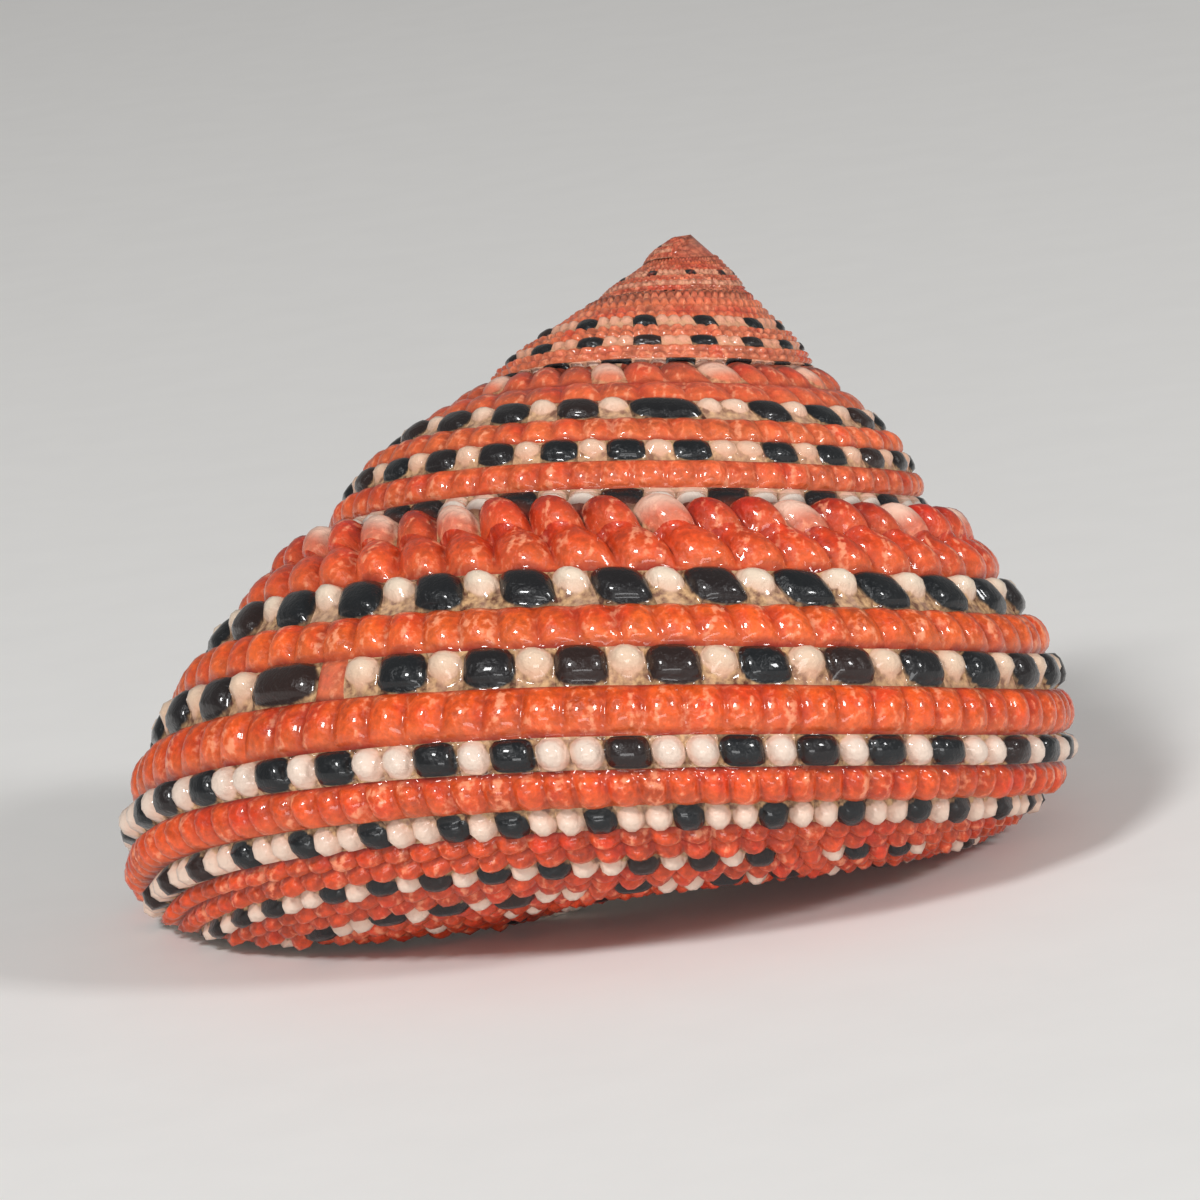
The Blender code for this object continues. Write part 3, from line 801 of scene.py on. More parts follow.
base_edge = edges["base"]
top_corner = [pair for pair in base_edge if pair[0] <= SEAM_ARC + CORNER_SLACK]
low_corner = [pair for pair in base_edge if pair[0] >= RIM_ARC - CORNER_SLACK]
roof = [pair for pair in base_edge if top_corner[-1][0] <= pair[0] <= low_corner[0][0]]
start_ring = ordered(top_corner, -SEAM_ARC)
end_ring = ordered(low_corner, PILLAR_ARC)
lip_ring = by_place(wall_line(pattern, LIP + LIP_ROUND, FINE[0], FINE[2], thickness=LIP_EDGE))
ring = ends_joined(start_ring, lip_ring, end_ring)
join(pattern, ring, ordered(edges["lip"]), part=LIME)
print("lip:", len(ring.turn), "vertices round its edge")

# %% The room behind it
LIP_BACKS = (0.004, 0.012, 0.022, 0.034, 0.048, 0.062, FOLD_LENGTH)
LIME_BACK = 0.012
ROOM_RINGS = 26
BLIND_BACK, BLIND_ARC, BLIND_DEPTH = 0.15, 10.0, 1.5
edge = ends_joined(cut(start_ring, start=-1), lip_ring, cut(end_ring, stop=1))
room_backs = FOLD_LENGTH + (1 - FOLD_LENGTH) * np.arange(1, ROOM_RINGS + 1) / ROOM_RINGS
roof_line = ordered(roof)
for back in (*LIP_BACKS, *room_backs):
    wall_columns, roof_columns, climbs = FINE if back < FOLD_LENGTH else COARSE
    arcs = np.linspace(roof[0][0], roof[-1][0], roof_columns)
    next_roof = by_place(pattern.line(LIP - back - 1 - trailing(arcs), arcs))
    wall = by_place(wall_line(pattern, LIP - back, wall_columns, climbs))
    first = Line(edge.turn[:1], edge.arc[:1], next_roof.vertex[:1])
    last = Line(edge.turn[-1:], edge.arc[-1:], next_roof.vertex[-1:])
    next_edge = ends_joined(first, wall, last)
    join(pattern, next_roof, roof_line, part=PEARL)
    join(pattern, next_edge, edge, part=LIME if back <= LIME_BACK else PEARL)
    roof_line, edge = next_roof, next_edge
blind_end = pattern.line([LIP - 1 - BLIND_BACK], BLIND_ARC, lift=-BLIND_DEPTH).vertex[0]
pattern.fan(list(roof_line.vertex) + list(edge.vertex[-2:0:-1]), int(blind_end), PEARL)
print("whole pattern:", pattern.count, "vertices,", len(pattern.faces), "faces")

# %% [markdown]
# ## From pattern to mesh
#
# The flat pattern becomes a mesh with named attributes. Geometry Nodes can read them by name, and so can
# the materials later on.

# %% The pattern as a flat mesh
def flat_mesh(pattern):
    """The pattern laid out in a plane, station against distance from the seam."""
    told = {name: np.vstack(blocks) for name, blocks in pattern.told.items()}
    mesh = bpy.data.meshes.new("pattern")
    flat = np.column_stack([told["turns"][:, 1], -told["turns"][:, 2], np.zeros(pattern.count)])
    mesh.from_pydata(flat.tolist(), [], [tuple(int(v) for v in face) for face in pattern.faces])
    for name, values in told.items():
        mesh.attributes.new(name, "FLOAT_VECTOR", "POINT").data.foreach_set("vector", values.ravel())
    mesh.attributes.new("number", "INT", "POINT").data.foreach_set("value", np.concatenate(pattern.numbers))
    mesh.attributes.new("tone", "FLOAT_VECTOR", "FACE").data.foreach_set("vector", np.ravel(pattern.tones))
    mesh.attributes.new("part", "INT", "FACE").data.foreach_set("value", pattern.parts)
    cells = mesh.uv_layers.new(name="cells")
    cells.data.foreach_set("uv", np.ravel(pattern.cells))
    return mesh


flat = bpy.data.objects.new("beaded_shell", flat_mesh(pattern))
bpy.context.scene.collection.objects.link(flat)
print("flat mesh with attributes", [a.name for a in flat.data.attributes if not a.name.startswith(".")])

# %% [markdown]
# ## One helper for every node
#
# Node trees are long to write out, so one small function adds a node, sets its options, and links or sets
# its inputs. A whole node can be given where a link is meant, and then its first output is taken. Most
# kinds of node start with "ShaderNode" in both sorts of tree, so the helper puts that in front itself.

# %% The node helper
FLOAT, VECTOR, MESH = "NodeSocketFloat", "NodeSocketVector", "NodeSocketGeometry"


def add(tree, kind, inputs=(), **options):
    """Adds a node. inputs is a list in socket order or a dict by name; None leaves a socket as it is."""
    made = tree.nodes.new(kind if "Node" in kind else "ShaderNode" + kind)
    for name, value in options.items():
        setattr(made, name, value)
    pairs = inputs.items() if isinstance(inputs, dict) else enumerate(inputs)
    for key, value in pairs:
        socket = made.inputs[key]
        if isinstance(value, bpy.types.Node):
            value = next(output for output in value.outputs if output.enabled)
        if isinstance(value, bpy.types.NodeSocket):
            tree.links.new(value, socket)
        elif value is not None:
            socket.default_value = value
    return made


def new_tree(name, inputs, outputs):
    """A geometry node group with its sockets. Returns it with its input and output nodes."""
    tree = bpy.data.node_groups.new(name, "GeometryNodeTree")
    for socket, value in inputs.items():
        kind = value if isinstance(value, str) else FLOAT
        made = tree.interface.new_socket(socket, in_out="INPUT", socket_type=kind)
        if not isinstance(value, str):
            made.default_value = value
    for socket, kind in outputs.items():
        tree.interface.new_socket(socket, in_out="OUTPUT", socket_type=kind)
    return tree, tree.nodes.new("NodeGroupInput").outputs, tree.nodes.new("NodeGroupOutput").inputs


print("node helper ready")

# %% [markdown]
# ## The coil as node groups
#
# The first group is the seam: a station goes in, and its radius and depth come out. The second places a
# point of the whorl's outline between this seam and the next one. They are the same sums as above.

# %% The seam group
SEAM_SIZES = {name: value for name, value in GROWTH.items() if name[:4] != "Rim " and name != "Base bulge"}
seam, given, result = new_tree(
    "Seam of the whorls", {"Station": 0.0, **SEAM_SIZES}, {"Radius": FLOAT, "Depth": FLOAT}
)
along = add(seam, "Math", [given["Station"], REFERENCE], operation="SUBTRACT")
square = add(seam, "Math", [along, along], operation="MULTIPLY")
for size, per_turn, fades, out in (
    ("Suture radius", "Radius per turn", ("Radius fade", "Radius curl"), "Radius"),
    ("Suture depth", "Depth per turn", ("Depth fade", None), "Depth"),
):
    grown = add(seam, "Math", [given[per_turn], along], operation="POWER")
    fade = given[fades[0]]
    if fades[1]:
        fade = add(seam, "Math", [given[fades[1]], along, fade], operation="MULTIPLY_ADD")
    bend = add(seam, "Math", [square, fade], operation="MULTIPLY")
    slowed = add(seam, "Math", [bend, -1.0], operation="MULTIPLY")
    slowed = add(seam, "Math", [slowed], operation="EXPONENT")
    grown = add(seam, "Math", [grown, slowed], operation="MULTIPLY")
    grown = add(seam, "Math", [grown, given[size]], operation="MULTIPLY")
    seam.links.new(grown.outputs[0], result[out])
print(seam.name, "has", len(seam.nodes), "nodes")

# %% The whorl group
whorl, given, result = new_tree(
    "Point of a whorl", {"Station": 0.0, "Shares": VECTOR, **GROWTH}, {"Radius": FLOAT, "Depth": FLOAT}
)
sizes = {name: given[name] for name in SEAM_SIZES}
here = add(whorl, "GeometryNodeGroup", node_tree=seam)
there = add(whorl, "GeometryNodeGroup", node_tree=seam)
next_station = add(whorl, "Math", [given["Station"], 1.0], operation="ADD")
for group, station in ((here, given["Station"]), (there, next_station.outputs[0])):
    for name, socket in {"Station": station, **sizes}.items():
        whorl.links.new(socket, group.inputs[name])
shares = add(whorl, "SeparateXYZ", [given["Shares"]]).outputs
here, there = here.outputs, there.outputs
step = add(whorl, "Math", [there["Depth"], here["Depth"]], operation="SUBTRACT")
wider = add(whorl, "Math", [there["Radius"], here["Radius"]], operation="SUBTRACT")
outer_radius = add(whorl, "Math", [shares[0], wider, here["Radius"]], operation="MULTIPLY_ADD")
outer_depth = add(whorl, "Math", [shares[1], step, here["Depth"]], operation="MULTIPLY_ADD")
along = add(whorl, "Math", [given["Station"], REFERENCE], operation="SUBTRACT")
rim_radius = add(whorl, "Math", [given["Rim radius per turn"], along], operation="POWER")
rim_radius = add(whorl, "Math", [rim_radius, given["Rim radius"]], operation="MULTIPLY")
rim_depth = add(whorl, "Math", [given["Rim depth share"], step, here["Depth"]], operation="MULTIPLY_ADD")
to_go = add(whorl, "Math", [1.0, shares[2]], operation="SUBTRACT")
bulge = shares[2]
for factor in (to_go, step, given["Base bulge"]):
    bulge = add(whorl, "Math", [bulge, factor], operation="MULTIPLY")
radius = add(whorl, "Mix", [shares[2], None, outer_radius, rim_radius], clamp_factor=False)
depth = add(whorl, "Mix", [shares[2], None, outer_depth, rim_depth], clamp_factor=False)
depth = add(whorl, "Math", [bulge, 4.0, depth], operation="MULTIPLY_ADD")
whorl.links.new(radius.outputs[0], result["Radius"])
whorl.links.new(depth.outputs[0], result["Depth"])
print(whorl.name, "has", len(whorl.nodes), "nodes")

# %% [markdown]
# ## Winding up and raising the beads
#
# The main tree winds each vertex into place, works out which way is outwards, and lifts it: first by the
# wall's own lift, and then by the bead. A bead is a dome whose flanks fall as (1 - x^p)^0.6, where a
# larger p makes it squarer. Every bead gets its own small difference in height from a seeded random
# value. Cord-like rows only dip between their beads. At the end the shell is turned the way it comes to
# rest, and worn flat where it touches the ground.

# %% The winding tree
REST_TILT = (math.radians(-17.14), math.radians(12.08), math.radians(-1.93))
REST_SHIFT = (3.6246, 4.1296, 14.0609)
DOME_POWER = 0.6
LOOKS = {"Bead height": 1.0, "Bead unevenness": 0.14, "Wobble": 0.05}
wind, given, result = new_tree(
    "Wind up the shell", {"Geometry": MESH, "Seed": "NodeSocketInt", **LOOKS, **GROWTH}, {"Geometry": MESH}
)
told = {
    name: add(wind, "GeometryNodeInputNamedAttribute", {"Name": name}, data_type="FLOAT_VECTOR").outputs[0]
    for name in (*pattern.told, "tone")
}
turns, wall, bead, form = (
    add(wind, "SeparateXYZ", [told[name]]).outputs for name in ("turns", "wall", "bead", "form")
)
station_back = add(wind, "Math", [turns[0], wall[2]], operation="SUBTRACT")
ends = []
for station, shares in ((turns[0], told["here"]), (station_back.outputs[0], told["there"])):
    end = add(wind, "GeometryNodeGroup", node_tree=whorl)
    for name in GROWTH:
        wind.links.new(given[name], end.inputs[name])
    wind.links.new(station, end.inputs["Station"])
    wind.links.new(shares, end.inputs["Shares"])
    ends.append(add(wind, "CombineXYZ", [end.outputs["Radius"], 0.0, end.outputs["Depth"]]))
middle = add(wind, "Mix", {0: wall[0], 4: ends[0], 5: ends[1]}, data_type="VECTOR")
run = add(wind, "VectorMath", [ends[1], ends[0]], operation="SUBTRACT")
run = add(wind, "SeparateXYZ", [run]).outputs
outward = add(wind, "CombineXYZ", [run[2], 0.0, run[0]])
outward = add(wind, "VectorMath", [outward], operation="NORMALIZE")
print("so far", len(wind.nodes), "nodes place a point and its outward direction")

# %% Beads and wobble
number = add(wind, "GeometryNodeInputNamedAttribute", {"Name": "number"}, data_type="INT").outputs[0]
drawn = {2: -1.0, 3: 1.0, "ID": number, "Seed": given["Seed"]}
uneven = add(wind, "FunctionNodeRandomValue", drawn, data_type="FLOAT")
uneven = add(wind, "Math", [uneven, given["Bead unevenness"], 1.0], operation="MULTIPLY_ADD")
far = []
for offset in (bead[0], bead[1]):
    distance = add(wind, "Math", [offset], operation="ABSOLUTE")
    far.append(add(wind, "Math", [distance, form[1]], operation="POWER"))
both = add(wind, "Math", far, operation="ADD")
domes = []
for distance in (far[1], both):
    near = add(wind, "Math", [1.0, distance], operation="SUBTRACT", use_clamp=True)
    domes.append(add(wind, "Math", [near, DOME_POWER], operation="POWER"))
dip = add(wind, "Math", [far[0], form[0]], operation="MULTIPLY")
cord = add(wind, "Math", [1.0, dip], operation="SUBTRACT")
cord = add(wind, "Math", [cord, domes[0]], operation="MULTIPLY")
dome = add(wind, "Mix", [form[2], None, cord, domes[1]])
rise = add(wind, "Math", [bead[2], dome], operation="MULTIPLY")
rise = add(wind, "Math", [rise, uneven], operation="MULTIPLY")
rise = add(wind, "Math", [rise, given["Bead height"], wall[1]], operation="MULTIPLY_ADD")
print("beads:", len(wind.nodes), "nodes")

# %% Into space and down to rest
WOBBLES_PER_MM = 0.9
angle = add(wind, "Math", [turns[0], -2 * math.pi], operation="MULTIPLY")
lifted = add(wind, "VectorMath", [outward, None, None, rise], operation="SCALE")
flip = add(wind, "VectorMath", [middle, (1.0, 1.0, -1.0)], operation="MULTIPLY")
placed = add(wind, "VectorMath", [flip, lifted], operation="ADD")
placed = add(wind, "VectorRotate", {"Vector": placed, "Angle": angle}, rotation_type="Z_AXIS")
wobble = add(wind, "TexNoise", {"Vector": placed, "Scale": WOBBLES_PER_MM, "Detail": 2.0})
wobble = add(wind, "VectorMath", [wobble.outputs["Color"], (0.5, 0.5, 0.5)], operation="SUBTRACT")
wobble = add(wind, "VectorMath", [wobble, None, None, given["Wobble"]], operation="SCALE")
placed = add(wind, "VectorMath", [placed, wobble], operation="ADD")
body = add(wind, "GeometryNodeSetPosition", {"Geometry": given["Geometry"], "Position": placed})
face_number = add(wind, "SeparateXYZ", [told["tone"]]).outputs[2]
face_number = add(wind, "FunctionNodeFloatToInt", [face_number])
chance = add(wind, "FunctionNodeRandomValue", {"ID": face_number, "Seed": given["Seed"]}, data_type="FLOAT")
stored = {"Geometry": body, "Name": "chance", "Value": chance}
body = add(wind, "GeometryNodeStoreNamedAttribute", stored, data_type="FLOAT", domain="FACE")
to_rest = {"Translation": [v * MM for v in REST_SHIFT], "Rotation": REST_TILT, "Scale": (MM, MM, MM)}
body = add(wind, "GeometryNodeTransform", {"Geometry": body, **to_rest})
spot = add(wind, "GeometryNodeInputPosition")
worn = add(wind, "VectorMath", [spot, (-1.0, -1.0, 0.0)], operation="MAXIMUM")
body = add(wind, "GeometryNodeSetPosition", {"Geometry": body, "Position": worn})
print("whole tree:", len(wind.nodes), "nodes")

# %% [markdown]
# ## What the shell is made of
#
# All of it is lime, but built in two ways. The outer skin is a thin coloured layer, stained coral red by
# porphyrins and nearly black by melanin, over white; it is hard and shines like glazed china. The inside
# is mother-of-pearl. The lip, the teeth and the wall of the umbilicus are plain white lime between them.

# %% What the materials share
def linear(code):
    """An sRGB hex colour as the linear colour that a shader takes."""
    values = [int(code[k : k + 2], 16) / 255 for k in (1, 3, 5)]
    return (*[v / 12.92 if v <= 0.04045 else ((v + 0.055) / 1.055) ** 2.4 for v in values], 1.0)


def new_material(name, ior, roughness):
    """A material, with its tree and its Principled shader."""
    material = bpy.data.materials.new(name)
    material.use_nodes = True
    surface = material.node_tree.nodes["Principled BSDF"]
    surface.inputs["IOR"].default_value = ior
    surface.inputs["Roughness"].default_value = roughness
    return material, material.node_tree, surface


def set_stops(made, stops, longest=1.0):
    """Gives a colour ramp its stops. Their places are distances up to the longest."""
    elements = made.color_ramp.elements
    while len(elements) < len(stops):
        elements.new(0.5)
    for element, (distance, code) in zip(elements, stops):
        element.position = distance / longest
        element.color = linear(code)


def growth_noise(tree, per_turn, per_mm, detail):
    """Noise drawn out along the growth lines, and the turn and the distance from the seam that it reads."""
    turns = add(tree, "Attribute", attribute_name="turns").outputs["Vector"]
    turns = add(tree, "SeparateXYZ", [turns]).outputs
    lines_at = add(tree, "Math", [turns[0], per_turn], operation="MULTIPLY")
    lines_down = add(tree, "Math", [turns[2], per_mm], operation="MULTIPLY")
    lines_at = add(tree, "CombineXYZ", [lines_at, lines_down, 0.0])
    noise = add(tree, "TexNoise", {"Vector": lines_at, "Scale": 1.0, "Detail": detail}).outputs[0]
    return noise, turns[0], turns[2]


print("coral red in linear light:", [round(v, 3) for v in linear("#e0501e")[:3]])

# %% Colours from the seam down to the rim, by the distance from the seam in mm
# The deep red at the top, next to the seam, is painted shade under the whorl above, and the red that darkens
# towards the rim is painted shade on the base, which faces down.
RED_BY_ARC = (
    (0.0, "#9a260e"),
    (0.6, "#961c0a"),
    (1.2, "#c43210"),
    (2.1, "#de4c1c"),
    (4.4, "#e65c1c"),
    (6.5, "#e25418"),
    (8.3, "#df5422"),
    (9.6, "#da4e22"),
    (11.3, "#d44c24"),
    (14.5, "#cc4622"),
    (16.4, "#bc4024"),
)
PALE_BY_ARC = (
    (0.0, "#d9cabd"),
    (0.4, "#d9cabd"),
    (0.6, "#f0c8b4"),
    (1.4, "#ecb89e"),
    (2.8, "#e3cfb9"),
    (5.0, "#e2c8b0"),
    (5.8, "#dcb99c"),
    (7.2, "#e2cdbd"),
    (9.0, "#e6cbb8"),
    (16.8, "#ecdccd"),
)
print("colour stops along the whorl:", len(RED_BY_ARC), "red,", len(PALE_BY_ARC), "pale")

# %% Pigmented shell
# Polished lime with pigment: warm, saturated and glossy, with fine growth lines, chalky flecks with painted
# highlight glints, painted sheen on the lower part of the red beads, brown traces of old skin left in the
# grooves, and painted shade in the grooves and the seam. The first whorls are worn to fine salmon granules.
# Real growth lines are about 0.1 mm apart. At 210 to a turn they are up to 0.3 mm apart here, so that they
# show. A crimson patch is about 0.9 mm across, and a grain of sand or a granule 0.17 mm.
LINES_PER_TURN, LINES_PER_MM = 210.0, 0.8
BLOTCHES_PER_MM = 1.1
GRAINS_PER_MM = 6.0
pigmented, tree, surface = new_material("pigmented_shell", ior=1.56, roughness=0.3)
growth_lines, turn, arc = growth_noise(tree, LINES_PER_TURN, LINES_PER_MM, detail=2.0)
tone = add(tree, "Attribute", attribute_name="tone").outputs["Vector"]
tone = add(tree, "SeparateXYZ", [tone]).outputs
chance = add(tree, "Attribute", attribute_name="chance").outputs["Fac"]
cell = add(tree, "UVMap", uv_map="cells")
down = add(tree, "SeparateXYZ", [cell]).outputs[1]
cell = add(tree, "VectorMath", [cell, (2.0, 2.0, 0.0), (-1.0, -1.0, 0.0)], operation="MULTIPLY_ADD")
cell = add(tree, "VectorMath", [cell], operation="ABSOLUTE")
cell = add(tree, "SeparateXYZ", [cell]).outputs
spot = add(tree, "TexCoord").outputs["Object"]
spot = add(tree, "VectorMath", [spot, None, None, 1 / MM], operation="SCALE")
blotch = add(tree, "TexNoise", {"Vector": spot, "Scale": BLOTCHES_PER_MM, "Detail": 3.0}).outputs[0]
grain = add(tree, "TexNoise", {"Vector": spot, "Scale": GRAINS_PER_MM, "Detail": 4.0}).outputs[0]
granules = add(tree, "TexVoronoi", {"Vector": spot, "Scale": GRAINS_PER_MM}).outputs["Distance"]
by_arc = []
for stops in (RED_BY_ARC, PALE_BY_ARC):
    longest = stops[-1][0]
    by_arc.append(add(tree, "ValToRGB", [add(tree, "Math", [arc, longest], operation="DIVIDE")]))
    set_stops(by_arc[-1], stops, longest)
red, pale = by_arc
print("read:", len(tree.nodes), "nodes")

# %% Where a bead is, and where its groove
# A pale or dark bead is round, so its groove fills the corners of its cell. A red one has a full groove
# above and below it, and only a weak one before the next bead.
GROOVE_AT = {"bead edge": (0.82, 1.08), "down": (0.7, 1.0), "along": (0.5, 1.0)}
DIP = 0.45
round_in = []
for power in (SQUARE["p"], SQUARE["d"]):
    sides = [add(tree, "Math", [cell[k], power], operation="POWER") for k in (0, 1)]
    round_in.append(add(tree, "Math", sides, operation="ADD"))
reach = add(tree, "Mix", [tone[1], None, round_in[0], round_in[1]])
bead_edge, groove_down, groove_along = (
    add(tree, "MapRange", {"Value": value, 1: low, 2: high}, interpolation_type="SMOOTHSTEP")
    for value, (low, high) in zip((reach, cell[1], cell[0]), GROOVE_AT.values())
)
groove_along = add(tree, "Math", [groove_along, DIP], operation="MULTIPLY")
groove = add(tree, "Math", [groove_down, groove_along], operation="MAXIMUM")
two_tone = add(tree, "Math", [tone[0], tone[1]], operation="ADD", use_clamp=True)
groove = add(tree, "Mix", [two_tone, None, groove, bead_edge])
print("grooves:", len(tree.nodes), "nodes")

# %% How strong each stain, painted shade and painted highlight is, and where
# Each line reads a value between two limits and turns it into a strength between two others.
fleck_and_glint = add(tree, "Math", [growth_lines, grain], operation="MULTIPLY")
# Several of these paint light and shade: the pink lower part of a red bead is painted sheen, the flecks carry
# painted glints, the warm rim of a pale bead is partly painted shade, the groove mask gives painted shade
# between red beads and real sand between pale and dark ones, and the masks under the seam, in the seam strip
# and between the granules give painted shade.
STAINS_AND_SHADING = {
    "old": (turn, -0.25, -2.0, 0.0, 1.0),
    "oldest": (turn, -1.9, -2.5, 0.0, 1.0),
    "brown": (chance, 0.55, 1.0, 0.0, 0.8),
    "crimson": (blotch, 0.48, 0.64, 0.0, 0.6),
    "shade": (chance, 0.0, 1.0, 0.8, 1.1),
    "grit": (grain, 0.35, 0.65, 0.0, 1.0),
    "pink": (down, 0.45, 0.95, 0.0, 0.4),
    "fleck_and_glint": (fleck_and_glint, 0.29, 0.4, 0.0, 0.7),
    "warm": (round_in[0], 0.25, 0.95, 0.0, 0.5),
    "top only": (arc, 0.95, 1.3, 1.0, 0.25),
    "shade under the seam": (arc, 0.5, 1.5, 1.0, 0.0),
    "groove_sand_and_shade": (blotch, 0.3, 0.6, 0.45, 0.95),
    "seam shade": (arc, 0.2, 0.42, 0.0, 1.0),
    "seam shade fades": (arc, 0.45, 0.62, 1.0, 0.0),
    "between": (granules, 0.4, 0.75, 0.0, 0.55),
    "rough": (grain, 0.0, 1.0, 0.28, 0.44),
}
stain_and_shading = {
    name: add(tree, "MapRange", {"Value": value, 1: low, 2: high, 3: least, 4: most})
    for name, (value, low, high, least, most) in STAINS_AND_SHADING.items()
}
print("stains:", ", ".join(stain_and_shading))

# %% The bead's colour, with painted sheen and shade
# Red fades to salmon towards the tip, varies from bead to bead and has crimson patches. Its lighter pink
# lower part is painted sheen, where the lights fall on each bead, and its flecks are chalky film with
# painted highlight glints. Pale beads warm and darken towards their rim, partly their own pink rim and
# partly painted shade at the dome's edge, and some dark ones are brown.
BY_BLOTCH, BY_GRIT, DARKER = 0.8, 0.45, 0.62
ROW_A_ENDS = 1.51
for factor, code in (("old", "#d67858"), ("crimson", "#c02410")):
    red = add(tree, "Mix", {0: stain_and_shading[factor], 6: red, 7: linear(code)}, data_type="RGBA")
shade = add(tree, "Math", [blotch, BY_BLOTCH, stain_and_shading["shade"]], operation="MULTIPLY_ADD")
shade = add(tree, "Math", [stain_and_shading["grit"], BY_GRIT, shade], operation="MULTIPLY_ADD")
shade = add(tree, "Math", [shade, DARKER], operation="SUBTRACT")
red = add(tree, "VectorMath", [red, None, None, shade], operation="SCALE")
# The pink mix is painted sheen on the lower part of each red bead, and the fleck mix is chalky film with
# painted highlight glints.
for factor, code in (("pink", "#ee7c48"), ("fleck_and_glint", "#f6a47c")):
    red = add(tree, "Mix", {0: stain_and_shading[factor], 6: red, 7: linear(code)}, data_type="RGBA")
# The darker, warmer rim of a pale bead is partly its own pink-brown rim and partly painted shade where the
# dome turns away from the light.
for factor, code in (("old", "#e0987a"), ("warm", "#d89a78")):
    pale = add(tree, "Mix", {0: stain_and_shading[factor], 6: pale, 7: linear(code)}, data_type="RGBA")
dark = add(tree, "Mix", {0: stain_and_shading["brown"], 6: linear("#0c1014"), 7: linear("#2a140d")}, data_type="RGBA")
below_a = add(tree, "Math", [arc, ROW_A_ENDS], operation="GREATER_THAN")
paleness = add(tree, "Math", [stain_and_shading["top only"], below_a], operation="MAXIMUM")
paleness = add(tree, "Math", [tone[0], paleness], operation="MULTIPLY")
colour = add(tree, "Mix", {0: paleness, 6: red, 7: pale}, data_type="RGBA")
colour = add(tree, "Mix", {0: tone[1], 6: colour, 7: dark}, data_type="RGBA")
print("bead colours:", len(tree.nodes), "nodes")

# %% What lies in the grooves, and the shade painted in them
# Sand and old skin between pale and dark beads. Between red ones the grooves are painted dark red as shade,
# nearly black under the seam, where the whorl above shades them, and the sunk strip under the seam is
# painted dark brown as shade. A darker red net painted between the granules of the oldest whorls stands
# for the shade between them. The old whorls get less of the sand and of the painted shade.
LESS_IN_OLD_GROOVES, SEAM_SHADE = 0.7, 0.8
sand = add(tree, "Mix", {0: stain_and_shading["grit"], 6: linear("#5c2c16"), 7: linear("#d6ac7c")}, data_type="RGBA")
# Painted shade in the grooves: dark red between red beads, nearly black under the seam.
groove_shade_and_sand = {0: stain_and_shading["shade under the seam"], 6: linear("#8a1c0c"), 7: linear("#3c0f08")}
groove_shade_and_sand = add(tree, "Mix", groove_shade_and_sand, data_type="RGBA")
groove_shade_and_sand = add(tree, "Mix", {0: two_tone, 6: groove_shade_and_sand, 7: sand}, data_type="RGBA")
# In patches, the grooves get sand or painted shade; the old whorls get less of both.
kept = add(tree, "Math", [stain_and_shading["old"], -LESS_IN_OLD_GROOVES, 1.0], operation="MULTIPLY_ADD")
groove_sand_and_shade = stain_and_shading["groove_sand_and_shade"]
for factor in (groove, kept):
    groove_sand_and_shade = add(tree, "Math", [groove_sand_and_shade, factor], operation="MULTIPLY")
# A dark brown band in the sunk strip under the seam is painted shade in that crease.
seam_shade = stain_and_shading["seam shade"]
for factor in (stain_and_shading["seam shade fades"], SEAM_SHADE):
    seam_shade = add(tree, "Math", [seam_shade, factor], operation="MULTIPLY")
# The darker red net between the granules of the oldest whorls is painted shade between them; the same net is
# pressed in by the bump below.
between = add(tree, "Math", [stain_and_shading["between"], stain_and_shading["oldest"]], operation="MULTIPLY")
# Laid over the colour: the groove shade and sand, the painted shade in the seam strip, and the painted shade
# between the granules.
for factor, over in ((groove_sand_and_shade, groove_shade_and_sand), (seam_shade, linear("#5a2413")), (between, linear("#9a3420"))):
    colour = add(tree, "Mix", {0: factor, 6: colour, 7: over}, data_type="RGBA")
tree.links.new(colour.outputs[2], surface.inputs["Base Color"])
print("colour:", len(tree.nodes), "nodes")

# %% Its gloss and relief
# The polish is a thin clear coat over a duller body, as on a shell rubbed with oil. Grooves are duller.
GROOVE_MATT = 0.3
LINE_RELIEF, NET_RELIEF, RELIEF_MM = 0.3, 1.5, 0.055
rough = add(tree, "Math", [groove, GROOVE_MATT, stain_and_shading["rough"]], operation="MULTIPLY_ADD")
tree.links.new(rough.outputs[0], surface.inputs["Roughness"])
surface.inputs["Specular IOR Level"].default_value = 0.25
surface.inputs["Coat Weight"].default_value = 0.55
surface.inputs["Coat Roughness"].default_value = 0.05
relief = add(tree, "Math", [growth_lines, LINE_RELIEF, grain], operation="MULTIPLY_ADD")
relief = add(tree, "Math", [between, -NET_RELIEF, relief], operation="MULTIPLY_ADD")
bump = add(tree, "Bump", {"Strength": 1.0, "Distance": RELIEF_MM * MM, "Height": relief})
tree.links.new(bump.outputs[0], surface.inputs["Normal"])
print(pigmented.name, "has", len(tree.nodes), "nodes")

# %% White lime
# Porcelain-white: the lip, the teeth and the wall of the umbilicus. Its growth lines are coarser than on
# the skin, up to 0.7 mm apart, and stain it faintly cream.
lime, tree, surface = new_material("white_lime", ior=1.56, roughness=0.35)
growth_lines, _, _ = growth_noise(tree, per_turn=90.0, per_mm=1.0, detail=3.0)
cream = add(tree, "MapRange", {"Value": growth_lines, 1: 0.4, 2: 0.7})
colour = add(tree, "Mix", {0: cream, 6: linear("#efe9df"), 7: linear("#dcc9b2")}, data_type="RGBA")
tree.links.new(colour.outputs[2], surface.inputs["Base Color"])
bump = add(tree, "Bump", {"Strength": 0.4, "Distance": 0.04 * MM, "Height": growth_lines})
tree.links.new(bump.outputs[0], surface.inputs["Normal"])
surface.inputs["Coat Weight"].default_value = 0.3
print(lime.name, "has", len(tree.nodes), "nodes")

